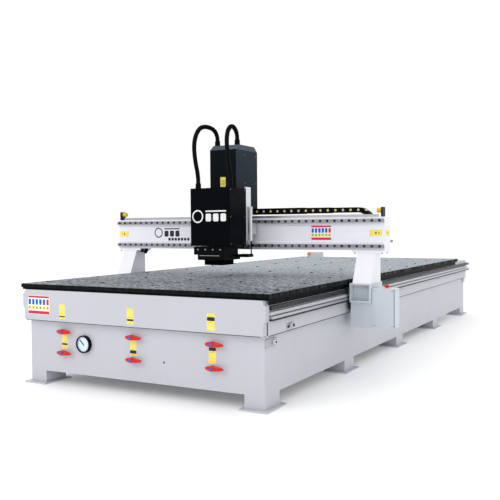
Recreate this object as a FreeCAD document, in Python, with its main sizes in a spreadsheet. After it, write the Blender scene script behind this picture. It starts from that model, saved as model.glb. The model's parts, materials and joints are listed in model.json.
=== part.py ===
import FreeCAD, Part
import math
import os
import re
import Sketcher

# Gantry CNC router with a vacuum table, built as separate pieces.
# Frame: origin on the floor under the middle of the machine, +X to the right
# along the gantry beam, +Y along the bed away from the operator, +Z up.
# All lengths are millimetres and all driving sizes are in the sheet "Sizes".

os.makedirs("parts", exist_ok=True)
doc = FreeCAD.newDocument("cnc_router")
sheet = doc.addObject("Spreadsheet::Sheet", "Sizes")

SIZES = {
    # bed, lower body
    "body_half_width": 1050,
    "body_front": -3000,
    "body_back": 2950,
    "body_bottom": 103,
    "seam_height": 500,
    "frame_top": 743,
    "panel_thickness": 4,
    "tube_size": 100,
    "tube_wall": 6,
    "cross_tube_count": 5,
    # upper frame that carries the rails
    "ring_half_width": 1075,
    "ring_width": 150,
    "ring_front": -2994,
    "ring_back": 2972,
    "bearer_count": 9,
    "ledge_bottom": 640,
    "ledge_height": 22,
    "ledge_depth": 17,
    # upper front cover
    "cover_front": -3050,
    "cover_half_width": 1066,
    "cover_bulge": 17,
    "cover_sheet": 4,
    "cover_gap": 2,
    # feet
    "foot_width": 155,
    "foot_length": 217,
    "foot_wall": 8,
    "foot_first": -2891.5,
    "foot_pitch": 1433,
    "foot_count": 5,
    "plate_width": 210,
    "plate_length": 300,
    "plate_thickness": 12,
    "plate_offset": 7,
    "anchor_radius": 9,
    "anchor_reach": 130,
    # table
    "table_half_width": 1111,
    "table_front": -3040,
    "table_back": 2335,
    "table_top": 787,
    "board_thickness": 29,
    "deck_inset": 11,
    "skirt_bottom": 708,
    "skirt_thickness": 4,
    # long rails and racks on the bed
    "rail_width": 28,
    "rail_depth": 26,
    "rail_centre": 689,
    "rail_front": -2993.5,
    "rail_back": 3050,
    "rack_size": 30,
    "rack_bottom": 604,
    # end stops behind the table
    "stop_inner": 1030,
    "stop_outer": 1292,
    "stop_y": 2905,
    "stop_plate": 8,
    "stop_top": 832,
    "stop_axis_x": 1262,
    "stop_axis_z": 800,
    "stop_radius": 20,
    "stop_length": 40,
    # vacuum system
    "valve_left": -696,
    "valve_middle": -27,
    "valve_right": 660,
    "valve_upper": 426,
    "valve_lower": 262,
    "valve_body_radius": 38,
    "valve_body_length": 44,
    "valve_neck_radius": 10,
    "stem_radius": 8,
    "stem_hole": 12,
    "handle_short_arm": 52,
    "handle_long_arm": 96,
    "handle_height": 38,
    "handle_depth": 20,
    "handle_stand": 26,
    "hub_radius": 20,
    "manifold_radius": 36,
    "manifold_bore": 32,
    "manifold_y": -2950,
    "manifold_half": 860,
    "gauge_x": -492,
    "gauge_z": 342,
    "gauge_radius": 66,
    "gauge_depth": 28,
    "dial_radius": 57,
    "dial_recess": 8,
    "gauge_barrel": 52,
    "drain_x": 240,
    "drain_z": 261,
    "drain_radius": 9,
    # gantry beam
    "beam_half": 1375,
    "beam_front": -1500,
    "beam_depth": 155,
    "beam_bottom": 1020,
    "beam_top": 1298,
    "beam_wall": 8,
    "recess_bottom": 1088,
    "recess_top": 1236,
    "recess_depth": 10,
    "x_rail_upper": 1268,
    "x_rail_lower": 1056,
    "x_rack_back": -1456,
    "x_rack_size": 24,
    # gantry legs
    "leg_inner": 1144,
    "leg_width": 155,
    "leg_wall": 8,
    "leg_bottom": 756,
    "leg_top": 1002,
    "leg_back": -1378,
    "leg_front_top": -1512,
    "leg_front_bottom": -1627,
    "flange_inner": 1098,
    "flange_outer": 1368,
    "flange_back": -1338,
    # side carriages
    "carriage_inner": 1120,
    "carriage_outer": 1300,
    "carriage_front": -1632,
    "carriage_back": -1340,
    "carriage_bottom": 600,
    "carriage_wall": 14,
    "carriage_web": -1566,
    "drive_plate": 20,
    "drive_bottom": 392,
    "drive_front": -1602,
    "drive_back": -1372,
    "drive_outer": 1302.6,
    "drive_sheet": 5,
    # drives of the gantry
    "pinion_radius": 36,
    "pinion_width": 25,
    "pinion_inner": 1079,
    "pinion_axis_y": -1535,
    "pinion_axis_z": 567.6,
    "pinion_shaft": 12,
    "gearbox_radius": 31,
    "motor_size": 80,
    # motor covers
    "motor_cover_inner": 1303,
    "motor_cover_outer": 1490,
    "motor_cover_front": -1605,
    "motor_cover_back": -1465,
    "motor_cover_bottom": 400,
    "motor_cover_top": 718,
    "motor_cover_sheet": 3,
    "estop_x": 1405,
    "estop_y": -1540,
    "estop_head": 24,
    # bumpers on the beam
    "bumper_plate_x": 1342,
    "bumper_length": 42,
    "bumper_radius": 20,
    "bumper_y": -1462,
    "bumper_z": 1352,
    # cable chain behind the beam
    "chain_y": -1290,
    "chain_start": 75,
    "chain_bend_x": 1075,
    "chain_stage": 500,
    "chain_outer_height": 56,
    "chain_outer_width": 80,
    "chain_step": 6,
    "chain_wall": 2.5,
    "chain_top_z": 1362,
    "chain_bend_radius": 128,
    "chain_fixed_start": -420,
    "chain_fixed_end": 570,
    "tray_front": -1345,
    "tray_back": -1238,
    "tray_left": -460,
    "tray_right": 1362,
    # cross carriage
    "head_x": -17.5,
    "plate_left": -190,
    "plate_right": 155,
    "plate_front": -1563,
    "plate_back": -1545,
    "plate_bottom": 1030,
    "plate_top": 1558,
    "arm_bottom": 1328,
    "arm_top": 1343,
    "arm_back": -1265,
    "motor_shelf_bottom": 1558,
    "motor_shelf_top": 1576,
    "z_screw_y": -1584,
    "z_screw_radius": 10,
    "z_rail_offset": 120,
    "z_rail_size": 20,
    "z_motor_size": 84,
    "z_motor_bottom": 1576,
    "z_motor_top": 1790,
    "z_rail_bottom": 1040,
    "z_rail_top": 1555,
    "x_pinion_x": -60,
    "x_pinion_y": -1437.5,
    "x_pinion_radius": 18,
    "x_pinion_shaft": 8,
    # tall cover over the drives
    "tall_left": -193,
    "tall_right": 75,
    "tall_front": -1660,
    "tall_back": -1265,
    "tall_bottom": 1343,
    "tall_step": 1564,
    "tall_step_y": -1540,
    "tall_shoulder": 1909,
    "tall_top": 1955,
    "tall_chamfer": 58,
    "tall_sheet": 3,
    # vertical slide and spindle
    "saddle_left": -212,
    "saddle_right": 177,
    "saddle_front": -1630,
    "saddle_back": -1605,
    "saddle_flange_front": -1666,
    "saddle_flange_back": -1580,
    "saddle_bottom": 1062,
    "saddle_web_top": 1548,
    "saddle_top": 1572,
    "saddle_flange": 12,
    "spindle_y": -1810,
    "spindle_size": 120,
    "spindle_bottom": 1130,
    "spindle_top": 1500,
    "nose_radius": 45,
    "nose_bottom": 1045,
    "shaft_radius": 15.95,
    "shaft_bore": 16,
    "collet_radius": 24,
    "collet_bottom": 985,
    "tool_radius": 6,
    "head_left": -217,
    "head_right": 175,
    "head_front": -1953,
    "head_back": -1666,
    "head_bottom": 1062,
    "head_top": 1557,
    "head_sheet": 3,
    # conduits and their glands
    "hose_diameter": 40,
    "gland_radius": 28,
    "gland_nut": 16,
    "gland_height": 44,
    "lower_left_x": -166,
    "lower_left_y": -1900,
    "lower_right_x": 122,
    "lower_right_y": -1840,
    "upper_left_x": -164,
    "upper_right_x": 41,
    "upper_y": -1575,
    # dust hood
    "hood_left": -150,
    "hood_right": 115,
    "hood_front": -1945,
    "hood_back": -1668,
    "hood_bottom": 940,
    "hood_top": 985,
    "hood_hole": 72,
    "hood_box_left": -194,
    "hood_box_right": 112,
    "hood_box_back": -1700,
    "hood_box_top": 1054,
    "brush_inset": 40,
    "brush_thickness": 14,
    "brush_bottom": 895,
    "guide_x": 213,
    "guide_y": -1612,
    "rod_radius": 6,
    "cylinder_radius": 14,
    "cylinder_bottom": 1100,
    "cylinder_length": 300,
    "hood_rod_length": 410,
}

for row, (alias, value) in enumerate(SIZES.items(), start=1):
    sheet.set(f"A{row}", alias)
    sheet.set(f"B{row}", str(value))
    sheet.setAlias(f"B{row}", alias)
doc.recompute()


def size(alias):
    """Return a driving size as a number."""
    return float(SIZES[alias])


def bound(text):
    """Write an expression of aliases as an expression on the sheet."""
    return re.sub(r"[a-z][a-z_]*[a-z]", lambda word: f"Sizes.{word.group(0)}", str(text))


def value_of(text):
    """Work out the number that an expression of aliases stands for."""
    result = sheet.evalExpression(bound(text))
    return float(getattr(result, "Value", result))


def place(item, x, y, z):
    """Bind an object's position to three expressions."""
    item.setExpression("Placement.Base.x", bound(x))
    item.setExpression("Placement.Base.y", bound(y))
    item.setExpression("Placement.Base.z", bound(z))
    return item


def box(name, low, high):
    """Make a box between two corners given as expressions."""
    item = doc.addObject("Part::Box", name)
    for side, start, end in zip(("Length", "Width", "Height"), low, high):
        item.setExpression(side, bound(f"({end}) - ({start})"))
    return place(item, *low)


AXIS_TURNS = {
    "X": FreeCAD.Rotation(FreeCAD.Vector(0, 1, 0), 90),
    "Y": FreeCAD.Rotation(FreeCAD.Vector(1, 0, 0), -90),
    "Z": FreeCAD.Rotation(),
}


def cylinder(name, axis, radius, start, length):
    """Make a cylinder that runs from start along +X, +Y or +Z."""
    item = doc.addObject("Part::Cylinder", name)
    item.setExpression("Radius", bound(radius))
    item.setExpression("Height", bound(length))
    item.Placement = FreeCAD.Placement(FreeCAD.Vector(), AXIS_TURNS[axis])
    return place(item, *start)


def fuse(name, pieces):
    """Join touching solids into one."""
    item = doc.addObject("Part::MultiFuse", name)
    item.Shapes = pieces
    item.Refine = True
    return item


def cut(name, base, tools):
    """Take the tools away from the base."""
    item = doc.addObject("Part::Cut", name)
    item.Base = base
    item.Tool = tools[0] if len(tools) == 1 else gather(name + "_tools", tools)
    return item


def gather(name, pieces):
    """Hold separate solids together as one compound."""
    item = doc.addObject("Part::Compound", name)
    item.Links = pieces
    return item


def mirrored(name, source):
    """Copy a piece to the other side of the machine's middle plane."""
    item = doc.addObject("Part::Mirroring", name)
    item.Source = source
    item.Normal = FreeCAD.Vector(1, 0, 0)
    return item


def origin_plane(body, role):
    """Find one of a body's own origin planes."""
    return next(item for item in body.Origin.OriginFeatures if item.Role == role)


def open_sketch(body, name, role, offset):
    """Attach a sketch to an origin plane, moved along the plane's normal."""
    sketch = body.newObject("Sketcher::SketchObject", name)
    sketch.AttachmentSupport = [(origin_plane(body, role), "")]
    sketch.MapMode = "FlatFace"
    sketch.setExpression("AttachmentOffset.Base.z", bound(offset))
    return sketch


def pin_down(sketch, index, point, across, up):
    """Fix a sketch point by two distances from the origin, both bound."""
    for kind, text in (("DistanceX", across), ("DistanceY", up)):
        rule = sketch.addConstraint(Sketcher.Constraint(kind, -1, 1, index, point, value_of(text)))
        sketch.renameConstraint(rule, f"{kind}_{index}_{point}")
        sketch.setExpression(f"Constraints.{kind}_{index}_{point}", bound(text))


def add_outline(sketch, corners):
    """Draw a closed outline of straight lines through bound corners."""
    first = sketch.GeometryCount
    spots = [FreeCAD.Vector(value_of(across), value_of(up), 0) for across, up in corners]
    for here, there in zip(spots, spots[1:] + spots[:1]):
        sketch.addGeometry(Part.LineSegment(here, there), False)
    count = len(corners)
    for step in range(count):
        after = first + (step + 1) % count
        sketch.addConstraint(Sketcher.Constraint("Coincident", first + step, 2, after, 1))
    for step, (across, up) in enumerate(corners):
        pin_down(sketch, first + step, 1, across, up)


def add_circle(sketch, across, up, radius):
    """Draw a circle with a bound centre and radius."""
    centre = FreeCAD.Vector(value_of(across), value_of(up), 0)
    index = sketch.addGeometry(Part.Circle(centre, FreeCAD.Vector(0, 0, 1), value_of(radius)), False)
    pin_down(sketch, index, 3, across, up)
    rule = sketch.addConstraint(Sketcher.Constraint("Radius", index, value_of(radius)))
    sketch.renameConstraint(rule, f"Radius_{index}")
    sketch.setExpression(f"Constraints.Radius_{index}", bound(radius))


def pad(body, name, role, offset, length, outlines=(), circles=()):
    """Pad outlines and circles along the plane's normal."""
    sketch = open_sketch(body, name + "_sketch", role, offset)
    for corners in outlines:
        add_outline(sketch, corners)
    for circle in circles:
        add_circle(sketch, *circle)
    feature = body.newObject("PartDesign::Pad", name)
    feature.Profile = sketch
    feature.setExpression("Length", bound(length))
    body.Tip = feature
    doc.recompute()
    return feature


def pocket(body, name, role, offset, depth, outlines=(), circles=()):
    """Pocket outlines and circles along the plane's normal, and prove that it cut."""
    before = body.Shape.Volume
    sketch = open_sketch(body, name + "_sketch", role, offset)
    for corners in outlines:
        add_outline(sketch, corners)
    for circle in circles:
        add_circle(sketch, *circle)
    feature = body.newObject("PartDesign::Pocket", name)
    feature.Profile = sketch
    feature.Reversed = True
    feature.setExpression("Length", bound(depth))
    body.Tip = feature
    doc.recompute()
    if body.Shape.Volume > before - 1:
        raise RuntimeError(f"{name} cuts nothing")
    return feature


def revolve(name, outline, x, y, z):
    """Turn an outline of radius and height pairs about the vertical axis."""
    body = doc.addObject("PartDesign::Body", name)
    sketch = open_sketch(body, name + "_sketch", "XZ_Plane", "0")
    add_outline(sketch, outline)
    feature = body.newObject("PartDesign::Revolution", name + "_turn")
    feature.Profile = sketch
    feature.ReferenceAxis = (sketch, ["V_Axis"])
    feature.Angle = 360
    body.Tip = feature
    return place(body, x, y, z)


def rectangle(left, bottom, right, top):
    """Corners of an upright rectangle."""
    return [(left, bottom), (right, bottom), (right, top), (left, top)]


SUB_PARTS = {}


def finish(label, item):
    """Record a finished sub-part under its own label."""
    item.Label = label
    SUB_PARTS[label] = item
    return item


# ---------------------------------------------------------------- bed

SIDES = (("left", -1), ("right", 1))


def side_box(name, side, low, high):
    """Make a box given for the right side, or its twin on the left."""
    if side > 0:
        return box(name, low, high)
    return box(name, (f"-({high[0]})", *low[1:]), (f"-({low[0]})", *high[1:]))


def tube_box(name, low, high, wall, run):
    """Return the outer and inner boxes of a square tube that runs along an axis."""
    outer = box(name + "_outer", low, high)
    inner_low = [text if axis == run else f"{text} + {wall}" for axis, text in zip("XYZ", low)]
    inner_high = [text if axis == run else f"{text} - {wall}" for axis, text in zip("XYZ", high)]
    return outer, box(name + "_inner", inner_low, inner_high)


def build_feet():
    """Ten box feet, each welded to a base plate with two anchor holes."""
    feet = []
    for side_name, side in SIDES:
        centre_x = f"{side} * (body_half_width - foot_width / 2)"
        plate_x = f"{centre_x} + {side} * plate_offset"
        for index in range(int(size("foot_count"))):
            name = f"foot_{side_name}_{index}"
            centre_y = f"foot_first + {index} * foot_pitch"
            low = (f"{centre_x} - foot_width / 2", f"{centre_y} - foot_length / 2", "plate_thickness")
            high = (f"{centre_x} + foot_width / 2", f"{centre_y} + foot_length / 2", "body_bottom")
            outer, inner = tube_box(name, low, high, "foot_wall", "Z")
            plate = box(
                name + "_plate",
                (f"{plate_x} - plate_width / 2", f"{centre_y} - plate_length / 2", "0"),
                (f"{plate_x} + plate_width / 2", f"{centre_y} + plate_length / 2", "plate_thickness"),
            )
            holes = [
                cylinder(
                    f"{name}_anchor_{end + 1}",
                    "Z",
                    "anchor_radius",
                    (centre_x, f"{centre_y} + {end} * anchor_reach", "-1"),
                    "plate_thickness + 2",
                )
                for end in (-1, 1)
            ]
            tube = cut(name + "_tube", outer, [inner])
            feet.append(fuse(name, [tube, cut(name + "_drilled", plate, holes)]))
    return finish("feet", gather("feet", feet))


def frame_tube(name, low, high, wall, run):
    """One hollow square tube."""
    outer, inner = tube_box(name, low, high, wall, run)
    return cut(name, outer, [inner])


def build_base_frame():
    """Frame inside the lower body: long tubes, posts between them and cross tubes."""
    reach = "body_half_width - panel_thickness"
    tubes = []
    for level, floor in (("low", "body_bottom"), ("high", "seam_height - tube_size")):
        for side_name, side in SIDES:
            low_x = f"{reach} - tube_size" if side > 0 else f"-({reach})"
            tubes.append(
                frame_tube(
                    f"long_tube_{level}_{side_name}",
                    (low_x, "body_front + panel_thickness", floor),
                    (f"{low_x} + tube_size", "body_back - panel_thickness", f"{floor} + tube_size"),
                    "tube_wall",
                    "Y",
                )
            )
    for index in range(int(size("cross_tube_count"))):
        near = f"foot_first + {index} * foot_pitch - tube_size / 2"
        far = f"foot_first + {index} * foot_pitch + tube_size / 2"
        for level, floor in (("low", "body_bottom"), ("high", "seam_height - tube_size")):
            tubes.append(
                frame_tube(
                    f"cross_tube_{level}_{index}",
                    (f"-({reach}) + tube_size", near, floor),
                    (f"{reach} - tube_size", far, f"{floor} + tube_size"),
                    "tube_wall",
                    "X",
                )
            )
        for side_name, side in SIDES:
            low_x = f"{reach} - tube_size" if side > 0 else f"-({reach})"
            tubes.append(
                frame_tube(
                    f"post_{side_name}_{index}",
                    (low_x, near, "body_bottom + tube_size"),
                    (f"{low_x} + tube_size", far, "seam_height - tube_size"),
                    "tube_wall",
                    "Z",
                )
            )
    return finish("base_frame", gather("base_frame", tubes))


def build_body_panels():
    """Two side skins and the back skin of the lower body."""
    skins = [
        side_box(
            f"side_skin_{side_name}",
            side,
            ("body_half_width - panel_thickness", "body_front", "body_bottom"),
            ("body_half_width", "body_back", "seam_height"),
        )
        for side_name, side in SIDES
    ]
    skins.append(
        box(
            "back_skin",
            ("-body_half_width + panel_thickness", "body_back - panel_thickness", "body_bottom"),
            ("body_half_width - panel_thickness", "body_back", "seam_height"),
        )
    )
    return finish("body_panels", gather("body_panels", skins))


VALVE_SPOTS = [
    (f"{column}_{row}", f"valve_{column}", f"valve_{row}")
    for column in ("left", "middle", "right")
    for row in ("upper", "lower")
]


def build_front_panel():
    """Front skin with holes for the valve stems, the gauge barrel and a cable."""
    body = doc.addObject("PartDesign::Body", "front_panel")
    edge = "body_half_width - panel_thickness"
    pad(
        body,
        "front_panel_sheet",
        "XZ_Plane",
        "-body_front - panel_thickness",
        "panel_thickness",
        outlines=[rectangle(f"-({edge})", "body_bottom", edge, "seam_height")],
    )
    holes = [(x, z, "stem_hole") for _, x, z in VALVE_SPOTS]
    holes.append(("gauge_x", "gauge_z", "gauge_barrel + 1"))
    holes.append(("drain_x", "drain_z", "drain_radius"))
    pocket(
        body,
        "front_panel_holes",
        "XZ_Plane",
        "-body_front - panel_thickness - 1",
        "panel_thickness + 2",
        circles=holes,
    )
    return finish("front_panel", body)


def build_upper_frame():
    """Upper frame: two side beams with rail ledges, and table bearers between them."""
    inner_edge = "ring_half_width - ring_width"
    tubes = []
    for side_name, side in SIDES:
        low_x = inner_edge if side > 0 else "-ring_half_width"
        beam = frame_tube(
            f"side_beam_{side_name}",
            (low_x, "ring_front", "seam_height"),
            (f"{low_x} + ring_width", "ring_back", "frame_top"),
            "tube_wall + 2",
            "Y",
        )
        ledge = side_box(
            f"rail_ledge_{side_name}",
            side,
            ("ring_half_width", "ring_front", "ledge_bottom"),
            ("ring_half_width + ledge_depth", "ring_back", "ledge_bottom + ledge_height"),
        )
        tubes += [beam, ledge]
    gaps = int(size("bearer_count")) - 1
    for index in range(gaps + 1):
        start = f"ring_front + {index} * (ring_back - ring_front - tube_size) / {gaps}"
        tubes.append(
            frame_tube(
                f"bearer_{index}",
                (f"-({inner_edge})", start, "frame_top - tube_size"),
                (inner_edge, f"{start} + tube_size", "frame_top"),
                "tube_wall",
                "X",
            )
        )
    return finish("upper_frame", gather("upper_frame", tubes))


def build_front_cover():
    """Shallow folded cover over the front of the upper frame, open behind."""
    bulge = "cover_half_width + cover_bulge"
    right_edge = [
        ("cover_half_width - 18", "seam_height + cover_gap"),
        ("cover_half_width - 5", "seam_height + cover_gap + 5"),
        ("cover_half_width", "seam_height + cover_gap + 18"),
        ("cover_half_width", "seam_height + 92"),
        (bulge, "seam_height + 112"),
        (bulge, "frame_top - 40"),
        ("cover_half_width", "frame_top - 22"),
        ("cover_half_width - 4", "frame_top - 0.5"),
    ]
    left_edge = [(f"-({across})", up) for across, up in reversed(right_edge)]
    body = doc.addObject("PartDesign::Body", "front_cover")
    pad(
        body,
        "front_cover_block",
        "XZ_Plane",
        "-ring_front",
        "ring_front - cover_front",
        outlines=[right_edge + left_edge],
    )
    inside = "cover_half_width - cover_sheet - 6"
    pocket(
        body,
        "front_cover_inside",
        "XZ_Plane",
        "-ring_front - 1",
        "ring_front - cover_front - cover_sheet + 1",
        outlines=[
            [
                (f"-({inside}) + 18", "seam_height + cover_gap + cover_sheet"),
                (f"{inside} - 18", "seam_height + cover_gap + cover_sheet"),
                (inside, "seam_height + cover_gap + 22"),
                (inside, "frame_top - 0.5 - cover_sheet"),
                (f"-({inside})", "frame_top - 0.5 - cover_sheet"),
                (f"-({inside})", "seam_height + cover_gap + 22"),
            ]
        ],
    )
    return finish("front_cover", body)


def build_table():
    """Two layers: a bearer deck with side skirts, and the phenolic vacuum board on top."""
    deck_top = "table_top - board_thickness"
    layer = box(
        "deck_layer",
        ("-table_half_width + deck_inset", "table_front + deck_inset / 2", "frame_top"),
        ("table_half_width - deck_inset", "table_back - deck_inset / 2", deck_top),
    )
    skirts = [
        side_box(
            f"deck_skirt_{side_name}",
            side,
            ("ring_half_width", "ring_front", "skirt_bottom"),
            ("ring_half_width + skirt_thickness", "table_back - deck_inset", "frame_top"),
        )
        for side_name, side in SIDES
    ]
    finish("table_deck", fuse("table_deck", [layer, *skirts]))
    body = doc.addObject("PartDesign::Body", "table_board")
    pad(
        body,
        "board_slab",
        "XY_Plane",
        deck_top,
        "board_thickness",
        outlines=[rectangle("-table_half_width", "table_front", "table_half_width", "table_back")],
    )
    return finish("table_board", body)


def rail_profile(centre, base, outward):
    """Waisted outline of a profile rail, given its centre, its base and which way it stands."""
    half = "rail_width / 2"
    waist = "rail_width / 2 - 4"
    steps = [
        (half, "0"),
        (half, "7"),
        (waist, "11"),
        (waist, "16"),
        (half, "20"),
        (half, "rail_depth"),
    ]
    upper = [(f"{centre} + {across}", f"{base} + {outward} * ({up})") for across, up in steps]
    lower = [(f"{centre} - ({across})", f"{base} + {outward} * ({up})") for across, up in reversed(steps)]
    return upper + lower


def build_long_rails():
    """Profile rails on both sides of the bed."""
    body = doc.addObject("PartDesign::Body", "long_rail_right")
    profile = rail_profile("rail_centre", "ring_half_width", 1)
    pad(
        body,
        "long_rail_bar",
        "XZ_Plane",
        "-rail_back",
        "rail_back - rail_front",
        outlines=[[(across, up) for up, across in profile]],
    )
    return finish("y_rails", gather("y_rails", [body, mirrored("long_rail_left", body)]))


def build_long_racks():
    """Toothed racks under the rails, as plain bars of the teeth's outside size."""
    bars = [
        side_box(
            f"long_rack_{side_name}",
            side,
            ("ring_half_width", "rail_front + 5", "rack_bottom"),
            ("ring_half_width + rack_size", "rail_back - 5", "rack_bottom + rack_size"),
        )
        for side_name, side in SIDES
    ]
    return finish("y_racks", gather("y_racks", bars))


def build_end_stop():
    """Bracket on the left behind the table, with the gantry's rubber stop."""
    foot = side_box(
        "stop_foot",
        -1,
        ("stop_inner", "stop_y", "frame_top"),
        ("ring_half_width", "stop_y + 50", "frame_top + stop_plate"),
    )
    plate = side_box(
        "stop_plate",
        -1,
        ("stop_inner", "stop_y", "frame_top"),
        ("stop_outer", "stop_y + stop_plate", "stop_top"),
    )
    rubber_start = ("-stop_axis_x", "stop_y - stop_length", "stop_axis_z")
    rubber = cylinder("stop_rubber", "Y", "stop_radius", rubber_start, "stop_length")
    bracket = fuse("stop_bracket", [foot, plate])
    return finish("end_stop", gather("end_stop", [bracket, rubber]))


# ---------------------------------------------------------------- vacuum system


def build_manifold():
    """Hollow vacuum pipe that runs across behind the front panel."""
    start = ("-manifold_half", "manifold_y", "gauge_z")
    pipe = cylinder("manifold_pipe", "X", "manifold_radius", start, "2 * manifold_half")
    start = ("-manifold_half - 1", "manifold_y", "gauge_z")
    bore = cylinder("manifold_hollow", "X", "manifold_bore", start, "2 * manifold_half + 2")
    return finish("vacuum_manifold", cut("vacuum_manifold", pipe, [bore]))


def build_valves():
    """Six ball-valve bodies, each on a short neck from the manifold."""
    valves = []
    for spot, x, z in VALVE_SPOTS:
        front = "body_front + panel_thickness + 6"
        barrel_name = f"valve_barrel_{spot}"
        barrel = cylinder(barrel_name, "Y", "valve_body_radius", (x, front, z), "valve_body_length")
        seat = cylinder(f"valve_seat_{spot}", "Y", "stem_radius + 0.05", (x, f"{front} - 1", z), "22")
        neck_floor, neck_top = ("gauge_z", z) if "upper" in spot else (z, "gauge_z")
        neck = cylinder(
            f"valve_neck_{spot}",
            "Z",
            "valve_neck_radius",
            (x, "manifold_y - 12", neck_floor),
            f"{neck_top} - ({neck_floor})",
        )
        start = (f"{x} - 30", "manifold_y", "gauge_z")
        saddle = cylinder(f"valve_saddle_{spot}", "X", "manifold_radius", start, "60")
        solid = fuse(f"valve_solid_{spot}", [barrel, neck])
        valves.append(cut(f"valve_{spot}", solid, [seat, saddle]))
    return finish("vacuum_valves", gather("vacuum_valves", valves))


def build_handle(spot, x, z):
    """Lens-shaped lever handle, longer to the right, with its hub and its stem."""
    body = doc.addObject("PartDesign::Body", f"valve_handle_{spot}")
    deep = "handle_height / 2"
    upper_edge = [
        ("handle_long_arm", "4"),
        ("handle_long_arm * 0.86", f"{deep} * 0.72"),
        ("handle_long_arm * 0.55", f"{deep} * 0.96"),
        ("-handle_short_arm * 0.25", f"{deep} * 0.96"),
        ("-handle_short_arm * 0.75", f"{deep} * 0.72"),
        ("-handle_short_arm", "4"),
    ]
    lower_edge = [(across, f"-({up})") for across, up in reversed(upper_edge)]
    profile = upper_edge + lower_edge
    pad(body, f"grip_{spot}", "XZ_Plane", "handle_stand", "handle_depth", outlines=[profile])
    pad(
        body,
        f"hub_{spot}",
        "XZ_Plane",
        "8",
        "handle_stand + handle_depth - 4",
        circles=[("0", "0", "hub_radius")],
    )
    pad(
        body,
        f"stem_{spot}",
        "XZ_Plane",
        "-30",
        "50",
        circles=[("0", "0", "stem_radius")],
    )
    place(body, x, "body_front", z)
    return finish(f"valve_handle_{spot}", body)


def build_gauge():
    """Vacuum gauge: case with a recessed dial, and the needle on its pivot."""
    case = doc.addObject("PartDesign::Body", "gauge_case")
    pad(case, "gauge_bezel", "XZ_Plane", "0", "gauge_depth", circles=[("0", "0", "gauge_radius")])
    pad(case, "gauge_barrel_pad", "XZ_Plane", "-13", "14", circles=[("0", "0", "gauge_barrel")])
    pocket(
        case,
        "gauge_dial",
        "XZ_Plane",
        "gauge_depth - dial_recess",
        "dial_recess + 1",
        circles=[("0", "0", "dial_radius")],
    )
    pivot_hole = [("0", "0", "3.05")]
    pocket(case, "gauge_pivot", "XZ_Plane", "gauge_depth - dial_recess - 6", "7", circles=pivot_hole)
    place(case, "gauge_x", "body_front", "gauge_z")
    finish("gauge_case", case)

    needle = doc.addObject("PartDesign::Body", "gauge_needle")
    pad(
        needle,
        "needle_blade",
        "XZ_Plane",
        "gauge_depth - dial_recess + 2",
        "1.6",
        outlines=[[("-11", "8"), ("-8", "11"), ("5", "0"), ("36", "-32"), ("32", "-36"), ("0", "-5")]],
    )
    pad(
        needle,
        "needle_pin",
        "XZ_Plane",
        "gauge_depth - dial_recess - 5",
        "9",
        circles=[("0", "0", "3")],
    )
    needle.Placement = FreeCAD.Placement(FreeCAD.Vector(), FreeCAD.Rotation(FreeCAD.Vector(0, 1, 0), 180))
    place(needle, "gauge_x", "body_front", "gauge_z")
    return finish("gauge_needle", needle)


# ---------------------------------------------------------------- gantry


def build_beam():
    """Hollow rectangular beam with a recessed front face and a cable slot behind."""
    back = "beam_front + beam_depth"
    body = doc.addObject("PartDesign::Body", "gantry_beam")
    outline = [
        ("beam_front", "beam_bottom"),
        (back, "beam_bottom"),
        (back, "beam_top"),
        ("beam_front", "beam_top"),
        ("beam_front", "recess_top"),
        ("beam_front + recess_depth", "recess_top - 8"),
        ("beam_front + recess_depth", "recess_bottom + 8"),
        ("beam_front", "recess_bottom"),
    ]
    pad(body, "beam_block", "YZ_Plane", "-beam_half", "2 * beam_half", outlines=[outline])
    hollow = box(
        "beam_hollow",
        ("-beam_half + beam_wall", "beam_front + recess_depth + beam_wall", "beam_bottom + beam_wall"),
        ("beam_half - beam_wall", f"{back} - beam_wall", "beam_top - beam_wall"),
    )
    slot = box(
        "beam_slot",
        ("-60", f"{back} - beam_wall - 1", "1120"),
        ("60", f"{back} + 1", "1180"),
    )
    return finish("gantry_beam", cut("gantry_beam_shell", body, [hollow, slot]))


def build_cross_rails():
    """Two profile rails and a rack along the gantry beam."""
    rails = []
    for level in ("upper", "lower"):
        body = doc.addObject("PartDesign::Body", f"cross_rail_{level}")
        profile = rail_profile(f"x_rail_{level}", "beam_front", -1)
        pad(
            body,
            f"cross_rail_bar_{level}",
            "YZ_Plane",
            "-beam_half + 4",
            "2 * beam_half - 8",
            outlines=[[(up, across) for across, up in profile]],
        )
        rails.append(body)
    finish("x_rails", gather("x_rails", rails))
    rack = box(
        "x_rack",
        ("-beam_half + 60", "x_rack_back - x_rack_size", "beam_top"),
        ("beam_half - 60", "x_rack_back", "beam_top + x_rack_size - 2"),
    )
    return finish("x_rack", rack)


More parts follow.
